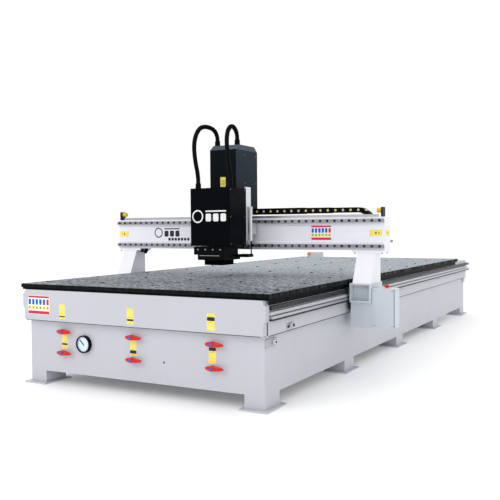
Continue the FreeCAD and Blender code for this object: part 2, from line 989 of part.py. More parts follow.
def build_leg(side_name, side):
    """Tapered box leg with a bolting flange under the beam."""
    outer_x = "leg_inner" if side > 0 else "-leg_inner - leg_width"
    body = doc.addObject("PartDesign::Body", f"leg_{side_name}")
    pad(
        body,
        f"leg_block_{side_name}",
        "YZ_Plane",
        outer_x,
        "leg_width",
        outlines=[
            [
                ("leg_front_bottom", "leg_bottom"),
                ("leg_back", "leg_bottom"),
                ("leg_back", "leg_top"),
                ("leg_front_top", "leg_top"),
            ]
        ],
    )
    pad(
        body,
        f"leg_flange_{side_name}",
        "XY_Plane",
        "leg_top",
        "beam_bottom - leg_top",
        outlines=[
            rectangle(
                "flange_inner" if side > 0 else "-flange_outer",
                "leg_front_top - 4",
                "flange_outer" if side > 0 else "-flange_inner",
                "flange_back",
            )
        ],
    )
    pocket(
        body,
        f"leg_inside_{side_name}",
        "YZ_Plane",
        f"{outer_x} + leg_wall",
        "leg_width - 2 * leg_wall",
        outlines=[
            [
                ("leg_front_bottom + leg_wall + 2", "leg_bottom - 1"),
                ("leg_back - leg_wall", "leg_bottom - 1"),
                ("leg_back - leg_wall", "leg_top - 2"),
                ("leg_front_top + leg_wall + 2", "leg_top - 2"),
            ]
        ],
    )
    return finish(f"leg_{side_name}", body)


def build_carriage(side_name, side):
    """Side carriage: a box beam with open ends, a drive plate and a drive housing."""
    name = f"carriage_{side_name}"
    beam = side_box(
        name + "_beam",
        side,
        ("carriage_inner", "carriage_front", "carriage_bottom"),
        ("carriage_outer", "carriage_back", "leg_bottom"),
    )
    front_hollow = side_box(
        name + "_front_hollow",
        side,
        ("carriage_inner + carriage_wall", "carriage_front - 1", "carriage_bottom + carriage_wall"),
        ("carriage_outer - carriage_wall", "carriage_web", "leg_bottom - carriage_wall"),
    )
    back_hollow = side_box(
        name + "_back_hollow",
        side,
        ("carriage_inner + carriage_wall", "carriage_web + carriage_wall", "carriage_bottom + carriage_wall"),
        ("carriage_outer - carriage_wall", "carriage_back + 1", "leg_bottom - carriage_wall"),
    )
    plate = side_box(
        name + "_plate",
        side,
        ("carriage_inner", "drive_front", "drive_bottom"),
        ("carriage_inner + drive_plate", "drive_back", "carriage_bottom"),
    )
    housing = side_box(
        name + "_housing",
        side,
        ("carriage_inner + drive_plate", "drive_front", "drive_bottom"),
        ("drive_outer", "drive_back", "carriage_bottom"),
    )
    housing_hollow = side_box(
        name + "_housing_hollow",
        side,
        ("carriage_inner + drive_plate", "drive_front + drive_sheet", "drive_bottom + drive_sheet"),
        ("drive_outer + 1", "drive_back - drive_sheet", "carriage_bottom - 0.4"),
    )
    shaft_start = "carriage_inner - 1" if side > 0 else "-carriage_inner - drive_plate - 1"
    shaft_hole = cylinder(
        name + "_shaft_hole",
        "X",
        "pinion_shaft + 8",
        (shaft_start, "pinion_axis_y", "pinion_axis_z"),
        "drive_plate + 2",
    )
    solid = fuse(name + "_solid", [beam, plate, housing])
    return cut(name, solid, [front_hollow, back_hollow, housing_hollow, shaft_hole])


def build_carriages():
    """Left and right side carriages."""
    pieces = [build_carriage(side_name, side) for side_name, side in SIDES]
    return finish("y_carriages", gather("y_carriages", pieces))


def build_long_blocks():
    """Four bearing blocks that ride on the long rails, two to a side."""
    blocks = []
    for side_name, side in SIDES:
        for end, start in (("front", "carriage_front + 8"), ("back", "carriage_back - 98")):
            name = f"long_block_{side_name}_{end}"
            shell = side_box(
                name + "_shell",
                side,
                ("ring_half_width + 6", start, "rail_centre - 26"),
                ("carriage_inner", f"{start} + 90", "rail_centre + 30"),
            )
            groove = side_box(
                name + "_groove",
                side,
                ("ring_half_width", f"{start} - 1", "rail_centre - rail_width / 2 - 0.3"),
                ("ring_half_width + rail_depth + 0.3", f"{start} + 91", "rail_centre + rail_width / 2 + 0.3"),
            )
            blocks.append(cut(name, shell, [groove]))
    return finish("y_blocks", gather("y_blocks", blocks))


def build_long_motors():
    """Gearbox and servo motor of each side, with a bore for the pinion shaft."""
    motors = []
    for side_name, side in SIDES:
        name = f"long_motor_{side_name}"
        stretch = {
            "gearbox": ("carriage_inner + drive_plate", "motor_cover_inner + 2"),
            "motor": ("motor_cover_inner + 2", "motor_cover_outer - 58"),
            "bore": ("carriage_inner + drive_plate - 1", "carriage_inner + drive_plate + 24"),
        }

        def run(part):
            near, far = stretch[part]
            return (near if side > 0 else f"-({far})"), f"{far} - ({near})"

        start, length = run("gearbox")
        gearbox = cylinder(
            name + "_gearbox", "X", "gearbox_radius", (start, "pinion_axis_y", "pinion_axis_z"), length
        )
        near, far = stretch["motor"]
        motor = side_box(
            name + "_body",
            side,
            (near, "pinion_axis_y - motor_size / 2", "pinion_axis_z - motor_size / 2"),
            (far, "pinion_axis_y + motor_size / 2", "pinion_axis_z + motor_size / 2"),
        )
        start, length = run("bore")
        bore = cylinder(
            name + "_bore", "X", "pinion_shaft + 0.05", (start, "pinion_axis_y", "pinion_axis_z"), length
        )
        motors.append(cut(name, fuse(name + "_solid", [gearbox, motor]), [bore]))
    return finish("y_motors", gather("y_motors", motors))


def build_long_pinions():
    """Pinion and shaft of each side, on one common axis."""
    pinions = []
    for side_name, side in SIDES:
        name = f"long_pinion_{side_name}"
        wheel_start = "pinion_inner" if side > 0 else "-pinion_inner - pinion_width"
        shaft_end = "carriage_inner + drive_plate + 20"
        shaft_start = "pinion_inner" if side > 0 else f"-({shaft_end})"
        centre = ("pinion_axis_y", "pinion_axis_z")
        wheel = cylinder(name + "_wheel", "X", "pinion_radius", (wheel_start, *centre), "pinion_width")
        shaft_length = f"{shaft_end} - pinion_inner"
        shaft = cylinder(name + "_shaft", "X", "pinion_shaft", (shaft_start, *centre), shaft_length)
        pinions.append(fuse(name, [wheel, shaft]))
    return finish("y_pinions", gather("y_pinions", pinions))


def build_motor_covers():
    """Folded covers over the two gantry motors, open towards the machine."""
    body = doc.addObject("PartDesign::Body", "motor_cover_right")
    pad(
        body,
        "motor_cover_block",
        "XY_Plane",
        "motor_cover_bottom",
        "motor_cover_top - motor_cover_bottom",
        outlines=[
            [
                ("motor_cover_inner", "motor_cover_front"),
                ("motor_cover_outer - 10", "motor_cover_front"),
                ("motor_cover_outer", "motor_cover_front + 10"),
                ("motor_cover_outer", "motor_cover_back - 10"),
                ("motor_cover_outer - 10", "motor_cover_back"),
                ("motor_cover_inner", "motor_cover_back"),
            ]
        ],
    )
    inset = "motor_cover_sheet"
    pocket(
        body,
        "motor_cover_inside",
        "XY_Plane",
        "motor_cover_bottom + motor_cover_sheet",
        "motor_cover_top - motor_cover_bottom - 2 * motor_cover_sheet",
        outlines=[
            rectangle(
                "motor_cover_inner - 1",
                f"motor_cover_front + {inset}",
                f"motor_cover_outer - {inset}",
                f"motor_cover_back - {inset}",
            )
        ],
    )
    pocket(
        body,
        "motor_cover_stop_hole",
        "XY_Plane",
        "motor_cover_top - motor_cover_sheet - 1",
        "motor_cover_sheet + 2",
        circles=[("estop_x", "estop_y", "8.3")],
    )
    left = mirrored("motor_cover_left", body)
    return finish("motor_covers", gather("motor_covers", [body, left]))


def build_estop():
    """Mushroom head and stem of the emergency stop on the right motor cover."""
    head = "estop_head"
    outline = [
        ("0", "-20"),
        ("8", "-20"),
        ("8", "10"),
        (f"{head} - 2", "11"),
        (head, "14"),
        (head, "19"),
        (f"{head} - 5", "24"),
        (f"{head} - 12", "26"),
        ("0", "26.5"),
    ]
    button = revolve("estop_button", outline, "estop_x", "estop_y", "motor_cover_top")
    return finish("estop_button", button)


def build_bumpers():
    """Stop plates at both ends of the beam and the rubber bumpers on them."""
    plates = []
    rubbers = []
    for side_name, side in SIDES:
        plates.append(
            side_box(
                f"bumper_plate_{side_name}",
                side,
                ("bumper_plate_x", "bumper_y - 32", "beam_top"),
                ("bumper_plate_x + 16", "bumper_y + 32", "bumper_z + 26"),
            )
        )
        start = "bumper_plate_x - bumper_length" if side > 0 else "-bumper_plate_x"
        rubbers.append(
            cylinder(
                f"bumper_{side_name}",
                "X",
                "bumper_radius",
                (start, "bumper_y", "bumper_z"),
                "bumper_length",
            )
        )
    finish("bumper_plates", gather("bumper_plates", plates))
    return finish("bumpers", gather("bumpers", rubbers))


# ---------------------------------------------------------------- cable chain

CHAIN_LOW_Z = "chain_top_z - 2 * chain_bend_radius"


def chain_box(name, start, end, centre_z, level, inside):
    """Make a box of chain section; each level down is one step smaller."""
    height = f"(chain_outer_height - {level} * chain_step - {inside} * 2 * chain_wall) / 2"
    width = f"(chain_outer_width - {level} * chain_step - {inside} * 2 * chain_wall) / 2"
    return box(
        name,
        (start, f"chain_y - {width}", f"{centre_z} - {height}"),
        (end, f"chain_y + {width}", f"{centre_z} + {height}"),
    )


def chain_sleeve(name, start, end, centre_z, level):
    """Make a hollow stretch of chain that the next smaller one slides in."""
    outer = chain_box(name + "_outer", start, end, centre_z, level, 0)
    inner = chain_box(name + "_inner", f"{start} - 1", f"{end} + 1", centre_z, level, 1)
    return cut(name, outer, [inner])


def build_chain():
    """Cable chain: two sliding stretches, the bend with its lower run, and the fixed run."""
    near = chain_sleeve("chain_near", "chain_start", "chain_start + chain_stage", "chain_top_z", 0)
    finish("chain_near", near)

    middle_start = "(chain_start + chain_bend_x - chain_stage) / 2"
    middle = chain_sleeve("chain_middle", middle_start, f"{middle_start} + chain_stage", "chain_top_z", 1)
    finish("chain_middle", middle)

    run_start = "chain_bend_x - chain_stage"
    upper_run = chain_box("chain_upper_run", run_start, "chain_bend_x", "chain_top_z", 2, 0)
    lower_outer = chain_box("chain_lower_outer", "chain_start", "chain_bend_x", CHAIN_LOW_Z, 2, 0)
    lower_inner = chain_box("chain_lower_inner", "chain_start - 1", "chain_bend_x - 12", CHAIN_LOW_Z, 2, 1)
    lower_run = cut("chain_lower_run", lower_outer, [lower_inner])
    half_height = "(chain_outer_height - 2 * chain_step) / 2"
    half_width = "(chain_outer_width - 2 * chain_step) / 2"
    ring = doc.addObject("PartDesign::Body", "chain_ring")
    centre = ("chain_bend_x", "chain_top_z - chain_bend_radius")
    pad(
        ring,
        "chain_ring_disc",
        "XZ_Plane",
        f"-chain_y - {half_width}",
        f"2 * {half_width}",
        circles=[(*centre, f"chain_bend_radius + {half_height}")],
    )
    pocket(
        ring,
        "chain_ring_hole",
        "XZ_Plane",
        f"-chain_y - {half_width} - 1",
        f"2 * {half_width} + 2",
        circles=[(*centre, f"chain_bend_radius - {half_height}")],
    )
    pocket(
        ring,
        "chain_ring_half",
        "XZ_Plane",
        f"-chain_y - {half_width} - 1",
        f"2 * {half_width} + 2",
        outlines=[
            rectangle(
                "chain_bend_x - 2 * chain_bend_radius",
                f"{CHAIN_LOW_Z} - 60",
                "chain_bend_x",
                "chain_top_z + 60",
            )
        ],
    )
    finish("chain_bend", fuse("chain_bend", [upper_run, ring, lower_run]))

    fixed_height = f"{half_height} - chain_wall - 0.5"
    fixed_width = f"{half_width} - chain_wall - 0.5"
    fixed = box(
        "chain_fixed_run",
        ("chain_fixed_start", f"chain_y - ({fixed_width})", f"{CHAIN_LOW_Z} - ({fixed_height})"),
        ("chain_fixed_end", f"chain_y + {fixed_width}", f"{CHAIN_LOW_Z} + {fixed_height}"),
    )
    return finish("chain_fixed_run", fixed)


def build_chain_tray():
    """Angle tray behind the beam with the clamp of the chain's fixed end."""
    floor = f"{CHAIN_LOW_Z} - 26"
    pieces = [
        box("tray_floor", ("tray_left", "tray_front", floor), ("tray_right", "tray_back", f"{floor} + 3")),
        box("tray_lip", ("tray_left", "tray_back - 3", floor), ("tray_right", "tray_back", f"{floor} + 24")),
        box(
            "tray_wall",
            ("tray_left", "tray_front", floor),
            ("tray_right", "tray_front + 3", f"{floor} + 60"),
        ),
        box(
            "tray_clamp",
            ("tray_left + 5", "chain_y - 30", floor),
            ("chain_fixed_start", "chain_y + 30", f"{CHAIN_LOW_Z} + 19"),
        ),
    ]
    return finish("chain_tray", fuse("chain_tray", pieces))


# ---------------------------------------------------------------- cross carriage


def rail_block(name, low, high, groove_low, groove_high):
    """Make a bearing block with a groove that clears its rail by a little."""
    return cut(name, box(name + "_shell", low, high), [box(name + "_groove", groove_low, groove_high)])


def build_cross_plate():
    """Cross carriage plate with its rear arm, motor shelf and screw bearings."""
    screw = ("head_x", "z_screw_y")
    plate = box(
        "plate_web",
        ("plate_left", "plate_front", "plate_bottom"),
        ("plate_right", "plate_back", "plate_top"),
    )
    arm = box(
        "plate_arm",
        ("plate_left", "plate_back", "arm_bottom"),
        ("tall_right", "arm_back", "arm_top"),
    )
    shelf = box(
        "plate_shelf",
        ("head_x - 48", "z_screw_y - 45", "motor_shelf_bottom"),
        ("head_x + 48", "plate_back", "motor_shelf_top"),
    )
    pieces = [plate, arm, shelf]
    for level, floor in (("low", "plate_bottom + 30"), ("high", "plate_top - 32")):
        pieces.append(
            box(
                f"screw_bearing_{level}",
                ("head_x - 30", "z_screw_y - 18", floor),
                ("head_x + 30", "plate_front", f"{floor} + 32"),
            )
        )
    holes = [
        cylinder(
            "screw_hole",
            "Z",
            "z_screw_radius + 0.05",
            (*screw, "plate_bottom"),
            "z_motor_bottom - plate_bottom + 1",
        ),
        cylinder(
            "pinion_hole",
            "Z",
            "x_pinion_shaft + 6",
            ("x_pinion_x", "x_pinion_y", "arm_bottom - 1"),
            "arm_top - arm_bottom + 3",
        ),
    ]
    return finish("x_plate", cut("x_plate", fuse("x_plate_solid", pieces), holes))


def build_cross_blocks():
    """Four bearing blocks behind the cross plate."""
    blocks = []
    for level in ("upper", "lower"):
        centre = f"x_rail_{level}"
        for side_name, start in (("left", "plate_left + 12"), ("right", "plate_right - 102")):
            blocks.append(
                rail_block(
                    f"cross_block_{level}_{side_name}",
                    (start, "plate_back", f"{centre} - 29"),
                    (f"{start} + 90", "beam_front - 6", f"{centre} + 29"),
                    (f"{start} - 1", "beam_front - rail_depth - 0.3", f"{centre} - rail_width / 2 - 0.3"),
                    (f"{start} + 91", "beam_front", f"{centre} + rail_width / 2 + 0.3"),
                )
            )
    return finish("x_blocks", gather("x_blocks", blocks))


def build_tall_cover():
    """Folded cover over both drive motors, open underneath."""
    sheet_text = "tall_sheet"
    body = doc.addObject("PartDesign::Body", "tall_cover")
    outline = [
        ("tall_front", "tall_step"),
        ("tall_front", "tall_shoulder"),
        ("tall_front + tall_chamfer", "tall_top"),
        ("tall_back - tall_chamfer", "tall_top"),
        ("tall_back", "tall_shoulder"),
        ("tall_back", "tall_bottom"),
        ("tall_step_y", "tall_bottom"),
        ("tall_step_y", "tall_step"),
    ]
    pad(body, "tall_block", "YZ_Plane", "tall_left", "tall_right - tall_left", outlines=[outline])
    inside = [
        (f"tall_front + {sheet_text}", "tall_step - 1"),
        (f"tall_front + {sheet_text}", f"tall_shoulder - {sheet_text} / 2"),
        (f"tall_front + tall_chamfer + {sheet_text} / 2", f"tall_top - {sheet_text}"),
        (f"tall_back - tall_chamfer - {sheet_text} / 2", f"tall_top - {sheet_text}"),
        (f"tall_back - {sheet_text}", f"tall_shoulder - {sheet_text} / 2"),
        (f"tall_back - {sheet_text}", "tall_bottom - 1"),
        (f"tall_step_y + {sheet_text}", "tall_bottom - 1"),
        (f"tall_step_y + {sheet_text}", "tall_step - 1"),
    ]
    pocket(
        body,
        "tall_inside",
        "YZ_Plane",
        f"tall_left + {sheet_text}",
        f"tall_right - tall_left - 2 * {sheet_text}",
        outlines=[inside],
    )
    return finish("tall_cover", body)


def build_z_motor():
    """Servo motor of the vertical axis, with a bore for the screw end."""
    half = "z_motor_size / 2"
    motor = box(
        "z_motor_body",
        (f"head_x - {half}", f"z_screw_y - {half}", "z_motor_bottom"),
        (f"head_x + {half}", f"z_screw_y + {half}", "z_motor_top"),
    )
    bore = cylinder(
        "z_motor_bore", "Z", "z_screw_radius + 0.05", ("head_x", "z_screw_y", "z_motor_bottom - 1"), "47"
    )
    return finish("z_motor", cut("z_motor", motor, [bore]))


def build_vertical_rails():
    """Two vertical rails on the front of the cross plate."""
    half = "z_rail_size / 2"
    rails = [
        box(
            f"vertical_rail_{side_name}",
            (f"head_x + {side} * z_rail_offset - {half}", "plate_front - 20", "z_rail_bottom"),
            (f"head_x + {side} * z_rail_offset + {half}", "plate_front", "z_rail_top"),
        )
        for side_name, side in SIDES
    ]
    return finish("z_rails", gather("z_rails", rails))


def build_cross_drive():
    """Motor and gearbox of the cross axis on the rear arm, and their pinion."""
    centre = ("x_pinion_x", "x_pinion_y")
    gearbox = cylinder("cross_gearbox", "Z", "28", (*centre, "arm_top"), "47")
    motor = box(
        "cross_motor",
        ("x_pinion_x - 30", "x_pinion_y - 30", "arm_top + 47"),
        ("x_pinion_x + 30", "x_pinion_y + 30", "arm_top + 177"),
    )
    bore = cylinder("cross_bore", "Z", "x_pinion_shaft + 0.05", (*centre, "arm_top - 1"), "26")
    finish("x_motor", cut("x_motor", fuse("x_motor_solid", [gearbox, motor]), [bore]))
    wheel = cylinder("cross_wheel", "Z", "x_pinion_radius", (*centre, "beam_top + 2"), "18")
    shaft_start = (*centre, "beam_top + 2")
    shaft = cylinder("cross_shaft", "Z", "x_pinion_shaft", shaft_start, "arm_top - beam_top + 22")
    return finish("x_pinion", fuse("x_pinion", [wheel, shaft]))


def build_screw():
    """Ball screw of the vertical axis, as a plain rod of its outside size."""
    screw = cylinder(
        "z_screw",
        "Z",
        "z_screw_radius",
        ("head_x", "z_screw_y", "plate_bottom + 30"),
        "z_motor_bottom - plate_bottom + 14",
    )
    return finish("z_screw", screw)


# ---------------------------------------------------------------- vertical slide


def build_saddle():
    """Vertical slide: web, two side flanges and the bracket of the spindle."""
    web = box(
        "saddle_web",
        ("saddle_left", "saddle_front", "saddle_bottom"),
        ("saddle_right", "saddle_back", "saddle_web_top"),
    )
    flanges = [
        box(
            f"saddle_flange_{side_name}",
            (low, "saddle_flange_front", "saddle_bottom"),
            (high, "saddle_flange_back", "saddle_top"),
        )
        for side_name, low, high in (
            ("left", "saddle_left", "saddle_left + saddle_flange"),
            ("right", "saddle_right - saddle_flange", "saddle_right"),
        )
    ]
    bracket = box(
        "saddle_bracket",
        ("head_x - 60", "spindle_y + spindle_size / 2", "spindle_bottom + 40"),
        ("head_x + 60", "saddle_front", "spindle_top - 50"),
    )
    return finish("z_plate", fuse("z_plate", [web, *flanges, bracket]))


def build_vertical_blocks():
    """Four bearing blocks on the back of the vertical slide."""
    blocks = []
    half = "z_rail_size / 2 + 0.3"
    for side_name, side in SIDES:
        centre = f"(head_x + {side} * z_rail_offset)"
        for level, floor in (("low", "1230"), ("high", "1440")):
            blocks.append(
                rail_block(
                    f"vertical_block_{side_name}_{level}",
                    (f"{centre} - 24", "saddle_back", floor),
                    (f"{centre} + 24", "plate_front - 5", f"{floor} + 60"),
                    (f"{centre} - ({half})", "plate_front - 20.3", f"{floor} - 1"),
                    (f"{centre} + {half}", "plate_front", f"{floor} + 61"),
                )
            )
    return finish("z_blocks", gather("z_blocks", blocks))


def build_nut():
    """Nut housing on the back of the vertical slide."""
    housing = box(
        "nut_housing",
        ("head_x - 25", "saddle_back", "plate_top - 80"),
        ("head_x + 25", "plate_front - 3", "plate_top - 42"),
    )
    bore = cylinder(
        "nut_bore", "Z", "z_screw_radius + 0.1", ("head_x", "z_screw_y", "plate_top - 81"), "40"
    )
    return finish("z_nut", cut("z_nut", housing, [bore]))


def build_spindle():
    """Square spindle motor with its round nose, and the turning shaft with collet nut."""
    half = "spindle_size / 2"
    centre = ("head_x", "spindle_y")
    motor = box(
        "spindle_motor",
        (f"head_x - {half}", f"spindle_y - {half}", "spindle_bottom"),
        (f"head_x + {half}", f"spindle_y + {half}", "spindle_top"),
    )
    nose_length = "spindle_bottom - nose_bottom + 1"
    nose = cylinder("spindle_nose", "Z", "nose_radius", (*centre, "nose_bottom"), nose_length)
    bore = cylinder("spindle_bore", "Z", "shaft_bore", (*centre, "nose_bottom - 1"), "161")
    finish("spindle_body", cut("spindle_body", fuse("spindle_solid", [motor, nose]), [bore]))
    rotor_start = (*centre, "collet_bottom + 40")
    rotor_length = "nose_bottom - collet_bottom + 118"
    shaft = cylinder("spindle_rotor", "Z", "shaft_radius", rotor_start, rotor_length)
    nut = cylinder("collet_nut", "Z", "collet_radius", (*centre, "collet_bottom"), "50")
    tool = cylinder("tool_bore", "Z", "tool_radius", (*centre, "collet_bottom - 1"), "41")
    return finish("spindle_shaft", cut("spindle_shaft", fuse("spindle_turning", [shaft, nut]), [tool]))


def build_head_cover():
    """Folded cover over the spindle, open behind and underneath."""
    body = doc.addObject("PartDesign::Body", "head_cover")
    pad(
        body,
        "head_block",
        "XY_Plane",
        "head_bottom",
        "head_top - head_bottom",
        outlines=[
            [
                ("head_left", "head_back"),
                ("head_right", "head_back"),
                ("head_right", "head_front + 6"),
                ("head_right - 6", "head_front"),
                ("head_left + 6", "head_front"),
                ("head_left", "head_front + 6"),
            ]
        ],
    )
    pocket(
        body,
        "head_inside",
        "XY_Plane",
        "head_bottom - 1",
        "head_top - head_bottom - head_sheet + 1",
        outlines=[
            rectangle(
                "head_left + head_sheet + 1",
                "head_front + head_sheet + 1",
                "head_right - head_sheet - 1",
                "head_back + 1",
            )
        ],
    )
    return finish("head_cover", body)


def build_hood():
    """Dust hood that follows the spindle down, its guide rods and its brush."""
    plate = box(
        "hood_plate", ("hood_left", "hood_front", "hood_bottom"), ("hood_right", "hood_back", "hood_top")
    )
    upper_box = box(
        "hood_upper_box",
        ("hood_box_left", "hood_front + 8", "hood_top"),
        ("hood_box_right", "hood_box_back", "hood_box_top"),
    )
    hole = cylinder(
        "hood_hole",
        "Z",
        "hood_hole",
        ("head_x", "spindle_y", "hood_bottom - 1"),
        "hood_box_top - hood_bottom + 2",
    )
    pieces = [plate, upper_box]
    for side_name, side in SIDES:
        centre = f"head_x + {side} * guide_x"
        inner = "hood_right" if side > 0 else f"{centre} - 14"
        outer = f"{centre} + 14" if side > 0 else "hood_left"
        pieces.append(
            box(
                f"hood_lug_{side_name}",
                (inner, "hood_back - 34", "hood_bottom + 18"),
                (outer, "guide_y + 14", "hood_top"),
            )
        )
        pieces.append(
            cylinder(
                f"hood_rod_{side_name}",
                "Z",
                "rod_radius",
                (centre, "guide_y", "hood_top - 10"),
                "hood_rod_length",
            )
        )
    finish("dust_hood", cut("dust_hood", fuse("dust_hood_solid", pieces), [hole]))
    low = ("hood_left + brush_inset", "hood_front + brush_inset", "brush_bottom")
    high = ("hood_right - brush_inset", "hood_back - brush_inset", "hood_bottom")
    outer, inner = tube_box("brush", low, high, "brush_thickness", "Z")
    return finish("dust_brush", cut("dust_brush", outer, [inner]))


def build_hood_cylinders():
    """Two air cylinders beside the vertical slide that carry the dust hood's rods."""
    cylinders = []
    for side_name, side in SIDES:
        centre = f"head_x + {side} * guide_x"
        barrel = cylinder(
            f"air_barrel_{side_name}",
            "Z",
            "cylinder_radius",
            (centre, "guide_y", "cylinder_bottom"),
            "cylinder_length",
        )
        edge_low = "plate_right" if side > 0 else f"{centre} - cylinder_radius"
        edge_high = f"{centre} + cylinder_radius" if side > 0 else "plate_left"
        bracket = box(
            f"air_bracket_{side_name}",
            (edge_low, "plate_front", "cylinder_bottom + 60"),
            (edge_high, "plate_back", "cylinder_bottom + 160"),
        )
        arm = box(
            f"air_arm_{side_name}",
            (f"{centre} - cylinder_radius", "guide_y", "cylinder_bottom + 60"),
            (f"{centre} + cylinder_radius", "plate_back", "cylinder_bottom + 160"),
        )
        bore = cylinder(
            f"air_bore_{side_name}",
            "Z",
            "rod_radius + 0.05",
            (centre, "guide_y", "cylinder_bottom - 1"),
            "cylinder_length - 9",
        )
        solid = fuse(f"air_solid_{side_name}", [barrel, bracket, arm])
        cylinders.append(cut(f"air_cylinder_{side_name}", solid, [bore]))
    return finish("hood_cylinders", gather("hood_cylinders", cylinders))


# ---------------------------------------------------------------- conduits


def gland(name, x, y, floor):
    """Cable gland: a hexagon nut with a round dome nut on top."""
    nut = doc.addObject("Part::Prism", name + "_nut")
    nut.Polygon = 6
    nut.setExpression("Circumradius", bound("gland_radius"))
    nut.setExpression("Height", bound("gland_nut"))
    place(nut, x, y, floor)
    dome = cylinder(name + "_dome", "Z", "gland_radius - 4", (x, y, floor), "gland_height")
    return fuse(name, [nut, dome])


def build_glands():
    """Glands on top of the head cover and on top of the tall cover."""
    lower = [
        gland("gland_lower_left", "lower_left_x", "lower_left_y", "head_top"),
        gland("gland_lower_right", "lower_right_x", "lower_right_y", "head_top"),
    ]
    finish("glands_lower", gather("glands_lower", lower))
    upper = [
        gland("gland_upper_left", "upper_left_x", "upper_y", "tall_top"),
        gland("gland_upper_right", "upper_right_x", "upper_y", "tall_top"),
    ]
    return finish("glands_upper", gather("glands_upper", upper))


# Corners of each conduit's route between the tops of its two glands.
HOSE_CORNERS = {
    "hose_left": [
        (-166, -1900, 1672),
        (-192, -1908, 1800),
        (-212, -1896, 1960),
        (-216, -1822, 2078),
        (-205, -1740, 2120),
        (-178, -1625, 2108),
        (-164, -1575, 2050),
    ],
    "hose_right": [
        (122, -1840, 1668),
        (106, -1842, 1775),
        (88, -1834, 1890),
        (71, -1812, 1988),
        (58, -1765, 2070),
        (50, -1690, 2112),
        (42, -1617, 2098),
        (41, -1575, 2050),
    ],
}


def hose_route(label):
    """Full list of corners of a conduit, gland top to gland top."""
    side_name = label.split("_")[1]
    lower_z = size("head_top") + size("gland_height")
    upper_z = size("tall_top") + size("gland_height")
    start = FreeCAD.Vector(size(f"lower_{side_name}_x"), size(f"lower_{side_name}_y"), lower_z)
    end = FreeCAD.Vector(size(f"upper_{side_name}_x"), size("upper_y"), upper_z)
    return [start, *[FreeCAD.Vector(*corner) for corner in HOSE_CORNERS[label]], end]


def rounded_path(label, corners):
    """Join straight runs by tangent arcs and report the arcs' radii."""
    edges = []
    here = corners[0]
    for before, corner, after in zip(corners, corners[1:], corners[2:]):
        run_in = (before - corner).normalize()
        run_out = (after - corner).normalize()
        half_turn = (math.pi - run_in.getAngle(run_out)) / 2
        reach = 0.45 * min((before - corner).Length, (after - corner).Length)
        radius = reach / math.tan(half_turn)
        arc_start = corner + run_in * reach
        arc_end = corner + run_out * reach
        bisector = (run_in + run_out).normalize()
        arc_middle = corner + bisector * (radius / math.cos(half_turn) - radius)
        edges.append(Part.makeLine(here, arc_start))
        edges.append(Part.Arc(arc_start, arc_middle, arc_end).toShape())
        here = arc_end
        print(f"{label}: turn {math.degrees(2 * half_turn):.1f} degrees, radius {radius:.1f} mm")
    edges.append(Part.makeLine(here, corners[-1]))
    return Part.Wire(edges)


def build_hose(label):
    """Flexible conduit between the moving head and the tall cover."""
    corners = hose_route(label)
    path = rounded_path(label, corners)
    radius = size("hose_diameter") / 2
    profile = Part.Wire([Part.makeCircle(radius, corners[0], corners[1] - corners[0])])
    shape = path.makePipeShell([profile], True, True)
    expected = math.pi * radius**2 * path.Length
    print(f"{label}: length {path.Length:.1f} mm, volume {shape.Volume:.0f} of {expected:.0f} mm3")
    if abs(shape.Volume - expected) > 0.02 * expected:
        raise ValueError(f"{label} is pinched or open")
    item = doc.addObject("Part::Feature", label)
    item.Shape = shape
    return finish(label, item)


# ---------------------------------------------------------------- build and write


def build_all():
    """Build every sub-part in turn."""
    build_feet()
    build_base_frame()
    build_body_panels()
    build_front_panel()
    build_upper_frame()
    build_front_cover()
    build_table()
    build_long_rails()
    build_long_racks()
    build_end_stop()
    build_manifold()
    build_valves()
    for spot, x, z in VALVE_SPOTS:
        build_handle(spot, x, z)
    build_gauge()
    build_beam()
    build_cross_rails()
    for side_name, side in SIDES:
        build_leg(side_name, side)
    build_carriages()
    build_long_blocks()
    build_long_motors()
    build_long_pinions()
    build_motor_covers()
    build_estop()
    build_bumpers()
    build_chain()
    build_chain_tray()
    build_cross_plate()
    build_cross_blocks()
    build_tall_cover()
    build_z_motor()
    build_vertical_rails()
    build_cross_drive()
    build_screw()
    build_saddle()
    build_vertical_blocks()
    build_nut()
    build_spindle()
    build_head_cover()
    build_hood()
    build_hood_cylinders()
    build_glands()
    for label in HOSE_CORNERS:
        build_hose(label)


def check_all():
    """Stop if any object failed or any sub-part has no sound shape."""
    broken = [item.Name for item in doc.Objects if "Invalid" in item.State or "Error" in item.State]
    if broken:
        raise ValueError(f"objects in a bad state: {broken}")
    for label, item in SUB_PARTS.items():
        if item.Shape.isNull() or not item.Shape.isValid() or item.Shape.Volume <= 0:
            raise ValueError(f"{label} has no sound shape")


def write_all():
    """Write one STEP file for each sub-part."""
    for label, item in SUB_PARTS.items():
        item.Shape.exportStep(f"parts/{label}.step")
        bounds = item.Shape.BoundBox
        print(
            f"{label}: {len(item.Shape.Solids)} solids,"
            f" X {bounds.XMin:.1f}..{bounds.XMax:.1f},"
            f" Y {bounds.YMin:.1f}..{bounds.YMax:.1f},"
            f" Z {bounds.ZMin:.1f}..{bounds.ZMax:.1f}"
        )


build_all()
doc.recompute()
check_all()
write_all()
print(f"{len(SUB_PARTS)} sub-parts written")
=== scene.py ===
import json
import math

import bmesh
import bpy
from mathutils import Matrix, Vector


